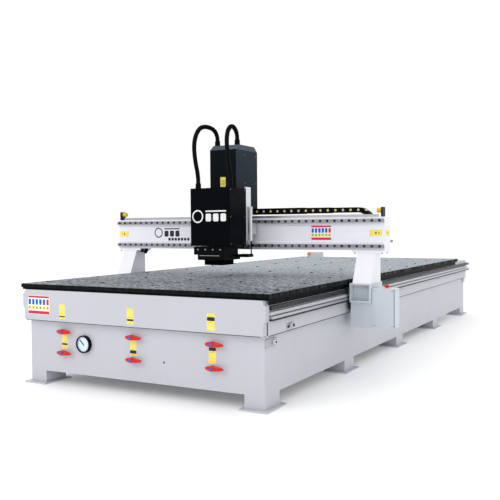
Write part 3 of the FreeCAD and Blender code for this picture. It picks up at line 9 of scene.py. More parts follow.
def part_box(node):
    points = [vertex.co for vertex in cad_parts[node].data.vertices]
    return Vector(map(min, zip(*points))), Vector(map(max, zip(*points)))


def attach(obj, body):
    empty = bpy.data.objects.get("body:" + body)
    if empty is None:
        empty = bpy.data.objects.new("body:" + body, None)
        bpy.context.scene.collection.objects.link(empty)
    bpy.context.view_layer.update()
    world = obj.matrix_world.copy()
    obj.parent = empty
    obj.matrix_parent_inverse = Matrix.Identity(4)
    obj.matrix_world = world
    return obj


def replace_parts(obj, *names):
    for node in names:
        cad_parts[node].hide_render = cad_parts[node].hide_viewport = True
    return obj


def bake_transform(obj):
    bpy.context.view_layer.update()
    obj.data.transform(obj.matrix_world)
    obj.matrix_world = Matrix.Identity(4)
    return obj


# Looks of a gantry CNC router with a vacuum table. All lengths are metres, in
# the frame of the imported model: +X right along the beam, +Y along the bed away
# from the operator, +Z up from the floor.

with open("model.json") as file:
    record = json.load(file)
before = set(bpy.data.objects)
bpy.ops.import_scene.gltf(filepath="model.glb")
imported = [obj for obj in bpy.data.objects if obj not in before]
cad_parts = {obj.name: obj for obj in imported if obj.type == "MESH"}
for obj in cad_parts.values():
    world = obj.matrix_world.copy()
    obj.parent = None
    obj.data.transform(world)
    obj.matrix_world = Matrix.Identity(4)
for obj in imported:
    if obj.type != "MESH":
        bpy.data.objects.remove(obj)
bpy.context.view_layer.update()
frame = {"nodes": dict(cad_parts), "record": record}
NODES = frame["nodes"]

# -------- faces that details sit on

# Bed.
COVER_FRONT_Y = -3.050
PANEL_FRONT_Y = -3.000
BODY_SIDE_X = 1.050
FRAME_SIDE_X = 1.075
Y_RAIL_SIDE_X = 1.101
BOARD_TOP_Z = 0.787

# Gantry.
BEAM_FRONT_Y = -1.490
BEAM_END_X = 1.375
X_RAIL_FRONT_Y = -1.526
DRIVE_COVER_SIDE_X = 1.490
DRIVE_COVER_FRONT_Y = -1.605

# Cross carriage and vertical slide.
TALL_FRONT_Y = -1.660
TALL_RIGHT_X = 0.075
TALL_BACK_Y = -1.265
HEAD_FRONT_Y = -1.953
HEAD_RIGHT_X = 0.175
HEAD_TOP_Z = 1.557

# -------- camera

CAMERA_PLACE = (3.213, -7.1255, 1.2224)
CAMERA_YAW = 0.5025
CAMERA_PITCH = 0.0324
CAMERA_ROLL = -0.0076
CAMERA_LENS = 51.35
CAMERA_FILM = 36.0


def add_camera():
    """Camera at the front right corner, a little above the beam's height."""
    level = math.cos(CAMERA_PITCH)
    forward = Vector(
        (-math.sin(CAMERA_YAW) * level, math.cos(CAMERA_YAW) * level, -math.sin(CAMERA_PITCH))
    )
    level_right = Vector((math.cos(CAMERA_YAW), math.sin(CAMERA_YAW), 0.0))
    level_up = level_right.cross(forward)
    right = math.cos(CAMERA_ROLL) * level_right + math.sin(CAMERA_ROLL) * level_up
    up = -math.sin(CAMERA_ROLL) * level_right + math.cos(CAMERA_ROLL) * level_up
    data = bpy.data.cameras.new("camera")
    data.sensor_width = CAMERA_FILM
    data.lens = CAMERA_LENS
    camera = bpy.data.objects.new("camera", data)
    turn = Matrix((right, up, -forward)).transposed().to_4x4()
    camera.matrix_world = Matrix.Translation(CAMERA_PLACE) @ turn
    bpy.context.collection.objects.link(camera)
    bpy.context.scene.camera = camera


add_camera()

# -------- materials


class Finish:
    """A node material under construction around one Principled shader."""

    def __init__(self, name, colour, roughness, metallic=0.0):
        self.material = bpy.data.materials.new(name)
        self.material.use_nodes = True
        self.tree = self.material.node_tree
        self.shader = self.tree.nodes["Principled BSDF"]
        self.shader.inputs["Base Color"].default_value = (*colour, 1.0)
        self.shader.inputs["Roughness"].default_value = roughness
        self.shader.inputs["Metallic"].default_value = metallic
        self.place = self.add("ShaderNodeTexCoord").outputs["Object"]

    def add(self, kind, feeds=None, **settings):
        """Add a node, set its own properties and feed its sockets."""
        node = self.tree.nodes.new(kind)
        for key, value in settings.items():
            setattr(node, key, value)
        for socket, value in (feeds or {}).items():
            self.feed(node.inputs[socket], value)
        return node

    def feed(self, socket, value):
        """Link an output to a socket, or set the socket to a number."""
        if isinstance(value, bpy.types.NodeSocket):
            self.tree.links.new(value, socket)
        else:
            socket.default_value = value

    def sums(self, operation, first, second=0.0, third=0.0):
        """Math node on one to three values."""
        node = self.add("ShaderNodeMath", operation=operation)
        for socket, value in zip(node.inputs, (first, second, third)):
            self.feed(socket, value)
        return node.outputs[0]

    def axis(self, name):
        """One coordinate of the piece, in metres."""
        return self.add("ShaderNodeSeparateXYZ", {"Vector": self.place}).outputs[name]

    def stretched(self, scale):
        """The piece's coordinates, scaled per axis."""
        return self.add("ShaderNodeMapping", {"Vector": self.place, "Scale": scale}).outputs[0]

    def noise(self, scale, detail=3.0, place=None):
        """Smooth noise from 0 to 1."""
        feeds = {"Scale": scale, "Detail": detail, "Vector": place or self.place}
        return self.add("ShaderNodeTexNoise", feeds).outputs["Fac"]

    def spread(self, value, low, high, to_low=0.0, to_high=1.0):
        """Map a value from one range to another, clamped."""
        feeds = {"Value": value, "From Min": low, "From Max": high, "To Min": to_low, "To Max": to_high}
        return self.add("ShaderNodeMapRange", feeds).outputs[0]

    def blend(self, amount, first, second):
        """Mix two colours, each an output or red, green and blue."""
        node = self.add("ShaderNodeMix", data_type="RGBA")
        self.feed(node.inputs["Factor"], amount)
        for socket, value in (("A", first), ("B", second)):
            if isinstance(value, tuple):
                value = (*value, 1.0)
            self.feed(node.inputs[socket], value)
        return node.outputs["Result"]

    def shades(self, amount, colour, darker, lighter):
        """Mix a darker and a lighter shade of one colour."""
        return self.blend(amount, shade_by(colour, darker), shade_by(colour, lighter))

    def squared_distance(self, first, second):
        """Sum of the squares of two values."""
        return self.sums("ADD", self.sums("POWER", first, 2.0), self.sums("POWER", second, 2.0))

    def lattice(self, value, pitch, width):
        """1 within a line of the given width every pitch, else 0."""
        phase = self.sums("PINGPONG", value, pitch / 2)
        return self.sums("LESS_THAN", phase, width / 2)

    def paint_over(self, colour):
        """Use an output as the base colour."""
        self.tree.links.new(colour, self.shader.inputs["Base Color"])

    def rough(self, value, at_low, at_high, low=0.3, high=0.7):
        """Vary the roughness as an output goes from low to high."""
        self.feed(self.shader.inputs["Roughness"], self.spread(value, low, high, at_low, at_high))

    def shine(self, value):
        """Set the specular level to a number or an output."""
        self.feed(self.shader.inputs["Specular IOR Level"], value)

    def bump(self, height, distance, strength=1.0):
        """Raise the surface by an output, in metres."""
        feeds = {"Height": height, "Distance": distance, "Strength": strength}
        self.feed(self.shader.inputs["Normal"], self.add("ShaderNodeBump", feeds).outputs[0])


def shade_by(colour, factor):
    """Scale a colour's brightness."""
    return tuple(min(channel * factor, 1.0) for channel in colour)


def powder_coat(name, colour, roughness=0.42):
    """Powder-coated sheet steel: fine orange peel, faint clouding, dust low down."""
    finish = Finish(name, colour, roughness)
    cloud = finish.noise(1.7, 4.0)
    toned = finish.shades(cloud, colour, 0.96, 1.03)
    height = finish.spread(finish.axis("Z"), 0.0, 0.3, 0.16, 0.0)
    dust = finish.sums("MULTIPLY", height, finish.noise(9.0, 6.0))
    finish.paint_over(finish.blend(dust, toned, shade_by(colour, 0.75)))
    finish.rough(finish.noise(14.0, 5.0), roughness - 0.06, roughness + 0.08)
    finish.bump(finish.noise(420.0, 2.0), 0.0002, 0.3)
    finish.shine(0.3)
    return finish.material


def moulded(name, colour, roughness=0.5, grain=900.0, shine=0.3):
    """Moulded plastic or rubber with a fine grain."""
    finish = Finish(name, colour, roughness)
    finish.paint_over(finish.shades(finish.noise(22.0, 4.0), colour, 0.86, 1.15))
    finish.rough(finish.noise(60.0, 4.0), roughness - 0.08, roughness + 0.08)
    finish.bump(finish.noise(grain, 2.0), 0.0002, 0.4)
    finish.shine(shine)
    return finish.material


def ground_metal(name, colour, roughness=0.3, along=(1.0, 60.0, 60.0), dirt=0.3):
    """Ground or brushed metal with streaks along one axis and oily dirt."""
    finish = Finish(name, colour, roughness, metallic=1.0)
    streaks = finish.noise(30.0, 3.0, finish.stretched(along))
    toned = finish.shades(streaks, colour, 0.82, 1.12)
    grime = finish.spread(finish.noise(6.0, 6.0), 0.45, 0.8, 0.0, dirt)
    finish.paint_over(finish.blend(grime, toned, shade_by(colour, 0.4)))
    finish.rough(streaks, roughness - 0.07, roughness + 0.12, 0.25, 0.75)
    finish.bump(streaks, 0.00008, 0.5)
    return finish.material


def sheet_cover(name, colour, roughness, shine):
    """Lacquered black sheet cover with very faint waviness and a little dust."""
    finish = Finish(name, colour, roughness)
    cloud = finish.noise(3.0, 3.0)
    toned = finish.shades(cloud, colour, 0.8, 1.25)
    dust = finish.spread(finish.noise(34.0, 7.0), 0.6, 0.82, 0.0, 0.25)
    finish.paint_over(finish.blend(dust, toned, shade_by(colour, 2.4)))
    finish.rough(finish.noise(9.0, 5.0), roughness - 0.04, roughness + 0.07)
    finish.bump(finish.noise(260.0, 2.0), 0.00012, 0.25)
    finish.shine(shine)
    return finish.material


def slate_cover():
    """Satin slate cover with painted reflection: paler on its right side, more so higher up, and on its
    sloping top front.
    """
    slate = (0.0040, 0.0056, 0.0078)
    # Paler slates: painted reflection on the right side and on the sloping top front.
    side_painted_reflection = (0.024, 0.034, 0.046)
    slope_painted_reflection = (0.085, 0.105, 0.135)
    slope_start = 1.9095
    finish = Finish("slate_cover", slate, 0.45)
    toned = finish.shades(finish.noise(2.5, 4.0), slate, 0.8, 1.25)
    right = finish.sums("GREATER_THAN", finish.axis("X"), TALL_RIGHT_X - 0.0005)
    upward = finish.spread(finish.axis("Z"), 1.45, 1.90, 0.55, 1.0)
    # Painted reflection blended in on the right side, stronger higher up, then on the sloping top
    # front.
    with_side_reflection = finish.blend(finish.sums("MULTIPLY", right, upward), toned, side_painted_reflection)
    slope = finish.sums("GREATER_THAN", finish.axis("Z"), slope_start)
    finish.paint_over(finish.blend(finish.sums("MULTIPLY", slope, 0.9), with_side_reflection, slope_painted_reflection))
    finish.rough(finish.noise(9.0, 5.0), 0.40, 0.52)
    finish.bump(finish.noise(260.0, 2.0), 0.00012, 0.25)
    finish.shine(0.03)
    return finish.material


def vacuum_board():
    """Phenolic vacuum board: milled groove grid with painted shade in the grooves, dark plate joints,
    port holes filled with painted shade, worn speckle, and painted reflection paling the top farther
    back.
    """
    groove_pitch = 0.05
    groove_width = 0.005
    plate_length = 0.62
    plate_width = 1.11
    joint_width = 0.010
    port_pitch_across = 0.27
    port_pitch_along = 0.31
    port_radius = 0.01414
    face = (0.060, 0.070, 0.082)
    # Paler colour for the painted reflection farther back on the board.
    far_painted_reflection = (0.34, 0.38, 0.42)
    worn_face = (0.46, 0.51, 0.56)
    groove_painted_shade = (0.03, 0.033, 0.04)
    joint_dark_and_port_shade = (0.008, 0.009, 0.011)
    edge_shade = (0.002, 0.0025, 0.003)
    finish = Finish("vacuum_board", face, 0.42)
    across = finish.axis("X")
    along = finish.axis("Y")
    top = finish.sums("GREATER_THAN", finish.axis("Z"), BOARD_TOP_Z - 0.0005)
    grid = finish.sums(
        "MAXIMUM",
        finish.lattice(across, groove_pitch, groove_width),
        finish.lattice(along, groove_pitch, groove_width),
    )
    joints = finish.sums(
        "MAXIMUM",
        finish.lattice(along, plate_length, joint_width),
        finish.lattice(across, plate_width, joint_width),
    )
    port_distance = finish.squared_distance(
        finish.sums("PINGPONG", across, port_pitch_across / 2),
        finish.sums("PINGPONG", along, port_pitch_along / 2),
    )
    ports = finish.sums("LESS_THAN", port_distance, port_radius**2)
    worn = finish.spread(finish.noise(2.2, 6.0), 0.3, 0.7)
    streaks = finish.noise(1.0, 10.0, finish.stretched((55.0, 20.0, 1.0)))
    flecks = finish.sums(
        "MULTIPLY", finish.spread(streaks, 0.44, 0.58), finish.spread(worn, 0.0, 1.0, 0.5, 1.0)
    )
    # Painted reflection: the top is blended paler farther back along the bed.
    far_reflection_amount = finish.spread(along, -2.6, -0.4, 0.0, 0.85)
    shade = finish.blend(far_reflection_amount, face, far_painted_reflection)
    toned = finish.blend(finish.sums("MULTIPLY", flecks, 0.7), shade, worn_face)
    # Painted shade: the milled grooves are darkened where shade falls inside them.
    ruled = finish.blend(finish.sums("MULTIPLY", grid, 0.45), toned, groove_painted_shade)
    # Plate joints are dark; the port holes take the same dark colour as painted shade inside the holes.
    jointed = finish.blend(finish.sums("MAXIMUM", joints, ports), ruled, joint_dark_and_port_shade)
    finish.paint_over(finish.blend(top, edge_shade, jointed))
    finish.rough(streaks, 0.85, 0.42, 0.4, 0.6)
    sunk = finish.sums("MAXIMUM", finish.sums("MAXIMUM", grid, joints), ports)
    finish.bump(finish.sums("SUBTRACT", 1.0, finish.sums("MULTIPLY", sunk, top)), 0.002, 0.6)
    finish.shine(finish.spread(top, 0.0, 1.0, 0.11, 0.35))
    return finish.material


def chain_plastic():
    """Black chain plastic with a seam at every link and a pale pin on the side."""
    link_pitch = 0.07
    seam_width = 0.006
    pin_radius = 0.011
    upper_run = 1.362
    lower_run = 1.106
    black = (0.002, 0.002, 0.003)
    seam_black = (0.001, 0.001, 0.001)
    pin_brass = (0.62, 0.50, 0.22)
    finish = Finish("chain_plastic", black, 0.45)
    along = finish.axis("X")
    heights = finish.axis("Z")
    seams = finish.lattice(along, link_pitch, seam_width)
    from_pin = finish.sums("PINGPONG", finish.sums("ADD", along, link_pitch / 2), link_pitch / 2)
    from_upper = finish.sums("ABSOLUTE", finish.sums("SUBTRACT", heights, upper_run))
    from_lower = finish.sums("ABSOLUTE", finish.sums("SUBTRACT", heights, lower_run))
    from_middle = finish.sums("MINIMUM", from_upper, from_lower)
    distance = finish.squared_distance(from_pin, from_middle)
    pin = finish.sums("LESS_THAN", distance, pin_radius**2)
    seamed = finish.blend(seams, black, seam_black)
    finish.paint_over(finish.blend(pin, seamed, pin_brass))
    finish.rough(finish.noise(40.0, 4.0), 0.36, 0.52)
    finish.bump(finish.sums("SUBTRACT", 1.0, seams), 0.002, 0.8)
    finish.shine(0.06)
    return finish.material


def rack_steel():
    """Ground rack of the bed, pale above and dark below along its teeth, with a slightly wavering line
    between.
    """
    pale = (0.52, 0.53, 0.56)
    teeth_dark = (0.045, 0.040, 0.038)
    teeth_dark_top = 0.617
    finish = Finish("rack_steel", pale, 0.42, metallic=1.0)
    streaks = finish.noise(30.0, 3.0, finish.stretched((60.0, 1.0, 60.0)))
    toned = finish.shades(streaks, pale, 0.82, 1.12)
    # The rack is coloured dark below a slightly wavering line near its teeth, and pale above it.
    wobble = finish.sums("MULTIPLY", finish.noise(40.0), 0.004)
    height = finish.sums("ADD", finish.axis("Z"), wobble)
    darker_below = finish.spread(height, teeth_dark_top, teeth_dark_top + 0.004, 1.0, 0.0)
    finish.paint_over(finish.blend(darker_below, toned, teeth_dark))
    finish.rough(streaks, 0.36, 0.52, 0.25, 0.75)
    return finish.material


def stop_finish():
    """Orange rubber in front of a painted bracket, split at the bracket's face."""
    bracket_front = 2.9045
    orange = (0.72, 0.16, 0.02)
    finish = Finish("stop_finish", LAVENDER, 0.45)
    rubber = finish.sums("LESS_THAN", finish.axis("Y"), bracket_front)
    clouded = finish.shades(finish.noise(20.0), LAVENDER, 0.95, 1.03)
    finish.paint_over(finish.blend(rubber, clouded, orange))
    finish.bump(finish.noise(400.0, 2.0), 0.0002, 0.35)
    return finish.material


LAVENDER = (0.516, 0.524, 0.572)
WHITE_PAINT = (0.84, 0.845, 0.91)
PALE_BLUE_GREY = (0.585, 0.63, 0.69)
BLACK_LACQUER = (0.0012, 0.0020, 0.0036)
BLACK_RESIN = (0.002, 0.0024, 0.003)
ALONG_Y = (60.0, 1.0, 60.0)
ALONG_Z = (60.0, 60.0, 1.0)
FINISHES = {
    "frame_paint": powder_coat("frame_paint", LAVENDER),
    "panel_paint": powder_coat("panel_paint", LAVENDER, 0.40),
    "white_paint": powder_coat("white_paint", WHITE_PAINT, 0.36),
    "drive_paint": powder_coat("drive_paint", PALE_BLUE_GREY, 0.4),
    "dark_cover": sheet_cover("dark_cover", BLACK_LACQUER, 0.42, 0.025),
    "slate_cover": slate_cover(),
    "phenolic_board": vacuum_board(),
    "deck_board": moulded("deck_board", BLACK_RESIN, 0.5, shine=0.04),
    # Rail steel kept very dark: painted shade for the bed's rails in the shadow under the table.
    "rail_steel": ground_metal("rail_steel", (0.052, 0.054, 0.058), 0.42, ALONG_Y),
    "drive_steel": ground_metal("drive_steel", (0.12, 0.105, 0.10), 0.42),
    "bare_aluminium": ground_metal("bare_aluminium", (0.72, 0.73, 0.75), 0.28, ALONG_Z, 0.1),
    "motor_black": sheet_cover("motor_black", (0.008, 0.008, 0.01), 0.4, 0.2),
    "black_plastic": moulded("black_plastic", BLACK_RESIN, 0.45, shine=0.05),
    "black_rubber": moulded("black_rubber", BLACK_RESIN, 0.55, 400.0, 0.06),
    "orange_rubber": stop_finish(),
    "yellow_plastic": moulded("yellow_plastic", (0.70, 0.47, 0.02), 0.35),
    "red_plastic": moulded("red_plastic", (0.58, 0.004, 0.006), 0.3, shine=0.4),
    "brass_body": ground_metal("brass_body", (0.70, 0.50, 0.20), 0.35),
    "pipe_grey": moulded("pipe_grey", (0.40, 0.41, 0.43), 0.4),
}
BADGE_BLUE = moulded("badge_blue", (0.10, 0.08, 0.34), 0.3)
# Paler copy of the rail steel for the beam's rails: painted light for the lit beam face.
RAIL_STEEL_PAINTED_LIT = ground_metal("rail_steel_painted_lit", (0.30, 0.31, 0.33), 0.36)
BRISTLE = moulded("bristle", (0.0015, 0.0015, 0.002), 0.6, 1500.0, 0.03)
CHAIN_PLASTIC = chain_plastic()
RACK_STEEL = rack_steel()
DIAL_PALE = moulded("dial_pale", (0.62, 0.78, 0.90), 0.3)
DARK_SCREW = ground_metal("dark_screw", (0.03, 0.03, 0.033), 0.4)
LABEL_BLUE = moulded("label_blue", (0.01, 0.10, 0.50), 0.35)
LABEL_DARK = moulded("label_dark", (0.01, 0.012, 0.03), 0.4)
# Dark grey of the painted shadow strips under the upper frame's overhang.
SEAM_SHADOW_GREY = moulded("seam_shadow_grey", (0.085, 0.08, 0.082), 0.5)
LABEL_RED = moulded("label_red", (0.60, 0.02, 0.04), 0.35)
LABEL_WHITE = moulded("label_white", (0.85, 0.86, 0.88), 0.35)
LABEL_YELLOW = moulded("label_yellow", (0.86, 0.72, 0.13), 0.35)
SCREW_STEEL = ground_metal("screw_steel", (0.45, 0.45, 0.47), 0.3)


def finish_node(node, material):
    """Give every slot of a CAD node one material."""
    mesh = NODES[node].data
    if not mesh.materials:
        mesh.materials.append(material)
    for index in range(len(mesh.materials)):
        mesh.materials[index] = material


def finish_nodes():
    """Give each CAD node the material of its slot in the record, apart from a few."""
    for entry in frame["record"]["subparts"]:
        finish_node(entry["node"], FINISHES[entry["material_slot"]])
    for node in ("chain_near", "chain_middle", "chain_bend", "chain_fixed_run"):
        finish_node(node, CHAIN_PLASTIC)
    # The beam's rails get the painted lit copy of the rail steel.
    finish_node("x_rails", RAIL_STEEL_PAINTED_LIT)


finish_nodes()

# -------- mesh helpers

# For each way a surface can face: its rightward, upward and outward directions.
FACINGS = {
    "front": ((1, 0, 0), (0, 0, 1), (0, -1, 0)),
    "back": ((-1, 0, 0), (0, 0, 1), (0, 1, 0)),
    "right": ((0, 1, 0), (0, 0, 1), (1, 0, 0)),
    "left": ((0, -1, 0), (0, 0, 1), (-1, 0, 0)),
    "top": ((1, 0, 0), (0, 1, 0), (0, 0, 1)),
}
SIDES = (("right", 1), ("left", -1))
HEAD_DOWN = Matrix.Rotation(math.pi, 4, "X")


def axes_matrix(place, first, second, third):
    """Matrix with the given local axes at a place."""
    turn = Matrix((Vector(first), Vector(second), Vector(third))).transposed().to_4x4()
    return Matrix.Translation(place) @ turn


def facing_matrix(facing, place):
    """Matrix that takes right, up and out to a place on a surface."""
    return axes_matrix(place, *FACINGS[facing])


def make_object(name, mesh, materials):
    """Turn a bmesh into an object in the scene."""
    data = bpy.data.meshes.new(name)
    bmesh.ops.recalc_face_normals(mesh, faces=mesh.faces)
    mesh.to_mesh(data)
    mesh.free()
    for material in materials:
        data.materials.append(material)
    piece = bpy.data.objects.new(name, data)
    bpy.context.collection.objects.link(piece)
    return piece


def make_piece(name, mesh, materials, body, smooth=True):
    """Turn a bmesh into a piece that rides on a body."""
    piece = make_object(name, mesh, materials)
    if smooth:
        piece.data.shade_smooth()
        piece.data.set_sharp_from_angle(angle=math.radians(35))
    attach(piece, body)
    return piece


def bridge(mesh, low, high, index=0):
    """Join two closed rows of vertices with a band of faces."""
    for step in range(len(low)):
        after = (step + 1) % len(low)
        face = mesh.faces.new((low[step], low[after], high[after], high[step]))
        face.material_index = index


def circle(radius, height, sides):
    """Points of a circle about the local z axis."""
    spots = []
    for side in range(sides):
        angle = 2 * math.pi * side / sides
        spots.append(Vector((radius * math.cos(angle), radius * math.sin(angle), height)))
    return spots


def turned_rings(mesh, matrix, outline, sides, index):
    """Bands of faces round radius and height pairs, given back as rows of vertices."""
    rings = []
    for radius, height in outline:
        rings.append([mesh.verts.new(matrix @ spot) for spot in circle(radius, height, sides)])
    for low, high in zip(rings, rings[1:]):
        bridge(mesh, low, high, index)
    return rings


def add_turned(mesh, matrix, outline, sides=24, index=0):
    """Add a turned form, closed at its outer end, from radius and height pairs."""
    rings = turned_rings(mesh, matrix, outline, sides, index)
    cap = mesh.faces.new(rings[-1])
    cap.material_index = index


def add_ring(mesh, matrix, outer, inner, depth, sides=40, index=0):
    """Add a flat raised ring."""
    outline = [(outer, 0.0), (outer, depth), (inner, depth), (inner, 0.0)]
    turned_rings(mesh, matrix, outline, sides, index)


def rounded_corners(width, height, radius, steps=5):
    """Corners of a rounded rectangle about the origin."""
    spots = []
    for quarter, (across, up) in enumerate(((1, 1), (-1, 1), (-1, -1), (1, -1))):
        centre = Vector((across * (width / 2 - radius), up * (height / 2 - radius), 0))
        for step in range(steps + 1):
            angle = (quarter + step / steps) * math.pi / 2
            spots.append(centre + radius * Vector((math.cos(angle), math.sin(angle), 0)))
    return spots


def add_plate(mesh, matrix, width, height, depth, radius, index=0):
    """Add a thin rounded plate with eased front edges, its back on the surface."""
    spots = rounded_corners(width, height, radius)
    easing = 1 - 0.3 * depth / width
    back = [mesh.verts.new(matrix @ spot) for spot in spots]
    edge = [mesh.verts.new(matrix @ (spot + Vector((0, 0, depth * 0.7)))) for spot in spots]
    front = [mesh.verts.new(matrix @ (spot * easing + Vector((0, 0, depth)))) for spot in spots]
    face = mesh.faces.new(front)
    face.material_index = index
    bridge(mesh, back, edge, index)
    bridge(mesh, edge, front, index)


def cap_screw(radius, height):
    """Outline of a cap screw head with a sunk socket."""
    return [
        (radius, 0.0),
        (radius, height * 0.8),
        (radius * 0.9, height),
        (radius * 0.5, height),
        (radius * 0.48, height * 0.4),
        (radius * 0.01, height * 0.35),
    ]


def heads(name, spots, facing, outline, body, material=SCREW_STEEL):
    """A group of equal screw heads or caps on one surface."""
    mesh = bmesh.new()
    for spot in spots:
        add_turned(mesh, facing_matrix(facing, spot), outline, 16)
    make_piece(name, mesh, [material], body)


def steps_between(low, high, pitch):
    """Evenly spaced values from low to high, about a pitch apart."""
    count = max(int(round((high - low) / pitch)), 1)
    return [low + (high - low) * step / count for step in range(count + 1)]


# -------- labels

LABEL_SHEET = 0.0003
MARK_SHEET = 0.0002
VALVE_LABEL_HEIGHT = 0.115
# For each column of valves, the label above it and the label between its handles:
# middle across, width, and how high up its dark band sits and how tall that is.
VALVE_LABELS = {
    "left": ((-0.6725, 0.055, -0.036, 0.010), (-0.6975, 0.056, -0.018, 0.014)),
    "middle": ((-0.0175, 0.059, -0.026, 0.014), (-0.0325, 0.060, -0.028, 0.024)),
    "right": ((0.6675, 0.062, 0.020, 0.026), (0.6465, 0.058, 0.044, 0.024)),
}


def label(name, facing, place, size, body, ground, marks):
    """Printed label: a ground sheet and marks, each (material, across, up, width, height)."""
    materials = [ground]
    mesh = bmesh.new()
    base = facing_matrix(facing, place)
    add_plate(mesh, base, size[0], size[1], LABEL_SHEET, 0.003)
    for material, across, up, width, height in marks:
        if material not in materials:
            materials.append(material)
        matrix = base @ Matrix.Translation((across, up, LABEL_SHEET))
        radius = 0.2 * min(width, height)
        add_plate(mesh, matrix, width, height, MARK_SHEET, radius, materials.index(material))
    make_piece(name, mesh, materials, body, smooth=False)


def add_valve_label(name, sizes, y, z):
    """Yellow label with a dark band between two thin lines."""
    x, width, band_up, band_height = sizes
    marks = [
        (LABEL_DARK, 0.0, band_up, width * 0.98, band_height),
        (LABEL_DARK, 0.0, band_up - 0.022, width * 0.5, 0.0015),
        (LABEL_DARK, 0.0, band_up + 0.02, width * 0.6, 0.0015),
    ]
    label(name, "front", (x, y, z), (width, VALVE_LABEL_HEIGHT), "bed", LABEL_YELLOW, marks)


def add_valve_labels():
    """Label above each column of valves and one between its handles."""
    for column, (upper, lower) in VALVE_LABELS.items():
        add_valve_label(f"valve_label_{column}_cover", upper, COVER_FRONT_Y, 0.5825)
        add_valve_label(f"valve_label_{column}_panel", lower, PANEL_FRONT_Y, 0.3445)


def add_safety_sheet(name, place, width, height, body):
    """Sheet of plain coloured pictogram blocks between two red bars."""
    columns = 6
    pitch = width / columns
    lower_row = -0.15 * height
    marks = [
        (LABEL_RED, 0.0, 0.43 * height, width * 0.98, height * 0.10),
        (LABEL_RED, 0.0, -0.40 * height, width * 0.98, height * 0.16),
    ]
    acrosses = [(column - (columns - 1) / 2) * pitch for column in range(columns)]
    for across in acrosses:
        upper = LABEL_RED if across == acrosses[-1] else LABEL_BLUE
        marks.append((upper, across, 0.16 * height, pitch * 0.66, height * 0.30))
        marks.append((LABEL_YELLOW, across, lower_row, pitch * 0.84, height * 0.20))
    label(name, "front", place, (width, height), body, LABEL_WHITE, marks)
    mesh = bmesh.new()
    for across in acrosses:
        spot = Vector(place) + Vector((across, -LABEL_SHEET - MARK_SHEET, lower_row))
        add_plate(mesh, facing_matrix("front", spot), pitch * 0.22, height * 0.10, MARK_SHEET, 0.001)
    make_piece(name + "_dots", mesh, [LABEL_DARK], body, smooth=False)


def add_yellow_label(name, facing, place, size, body, marks):
    """Yellow label with dark marks, each (across, up, width, height)."""
    label(name, facing, place, size, body, LABEL_YELLOW, [(LABEL_DARK, *mark) for mark in marks])


def add_labels():
    """Every printed label on the machine."""
    add_valve_labels()
    add_safety_sheet("safety_sheet_cover", (-0.9155, COVER_FRONT_Y, 0.625), 0.227, 0.146, "bed")
    add_safety_sheet("safety_sheet_beam", (0.811, BEAM_FRONT_Y, 1.167), 0.188, 0.126, "gantry")
    dot = (0.0, 0.0, 0.012, 0.016)
    small_dot = (0.026, 0.0, 0.008, 0.010)
    right = (1.2975, BEAM_FRONT_Y, 1.166)
    left = (-1.31, BEAM_FRONT_Y, 1.161)
    end = (BEAM_END_X, -1.425, 1.165)
    add_yellow_label("beam_label_right", "front", right, (0.107, 0.052), "gantry", [dot, small_dot])
    add_yellow_label("beam_label_left", "front", left, (0.110, 0.054), "gantry", [dot])
    add_yellow_label("beam_label_end", "right", end, (0.100, 0.050), "gantry", [dot])
    lines = [(0.0, up, 0.036, 0.002) for up in (-0.02, -0.01, 0.0, 0.01)]
    tall = (-0.0595, TALL_FRONT_Y, 1.6235)
    add_yellow_label("tall_label", "front", tall, (0.055, 0.087), "x_carriage", lines)


def add_emblem(name, place, scale, body, material):
    """Plain decoration: a ring and three blocks under a thin bar."""
    mesh = bmesh.new()
    base = facing_matrix("front", place)
    ring_matrix = base @ Matrix.Translation((-0.108 * scale, 0.0, 0.0))
    add_ring(mesh, ring_matrix, 0.056 * scale, 0.044 * scale, LABEL_SHEET)
    for step in range(3):
        matrix = base @ Matrix.Translation((0.074 * step * scale, -0.010 * scale, 0.0))
        add_plate(mesh, matrix, 0.054 * scale, 0.066 * scale, LABEL_SHEET, 0.012 * scale)
    bar_matrix = base @ Matrix.Translation((0.074 * scale, 0.044 * scale, 0.0))
    add_plate(mesh, bar_matrix, 0.205 * scale, 0.012 * scale, LABEL_SHEET, 0.004 * scale)
    make_piece(name, mesh, [material], body, smooth=False)


def add_emblems():
    """Decoration on the head cover and on the beam, with a row of small blocks below."""
    add_emblem("head_emblem", (-0.033, HEAD_FRONT_Y, 1.315), 1.0, "z_slide", LABEL_WHITE)
    add_emblem("beam_emblem", (-0.800, BEAM_FRONT_Y, 1.172), 0.86, "gantry", LABEL_DARK)
    mesh = bmesh.new()
    for step in range(7):
        matrix = facing_matrix("front", (-0.765 + 0.036 * step, BEAM_FRONT_Y, 1.110))
        add_plate(mesh, matrix, 0.027, 0.026, LABEL_SHEET, 0.004)
    make_piece("beam_emblem_row", mesh, [LABEL_DARK], "gantry", smooth=False)


add_labels()
add_emblems()

# -------- vacuum controls

HANDLE_COLUMNS = {"left": -0.696, "middle": -0.027, "right": 0.660}
HANDLE_ROWS = {"upper": 0.426, "lower": 0.262}
SHORT_ARM = 0.052
LONG_ARM = 0.096
GRIP_HALF_HEIGHT = 0.0185
GRIP_HALF_DEPTH = 0.0098
GRIP_MIDDLE_Y = -3.036
# Radius and height above the panel.
HUB_OUTLINE = [
    (0.008, -0.028),
    (0.008, 0.008),
    (0.0135, 0.009),
    (0.019, 0.013),
    (0.020, 0.020),
    (0.020, 0.044),
    (0.018, 0.0485),
    (0.013, 0.0488),
]
BADGE_OUTLINE = [(0.0135, 0.0486), (0.013, 0.0497), (0.008, 0.0499)]


def squared_off(value):
    """Bend a circle's coordinate from -1 to 1 towards a rounded square's."""
    return math.copysign(abs(value) ** 0.8, value)


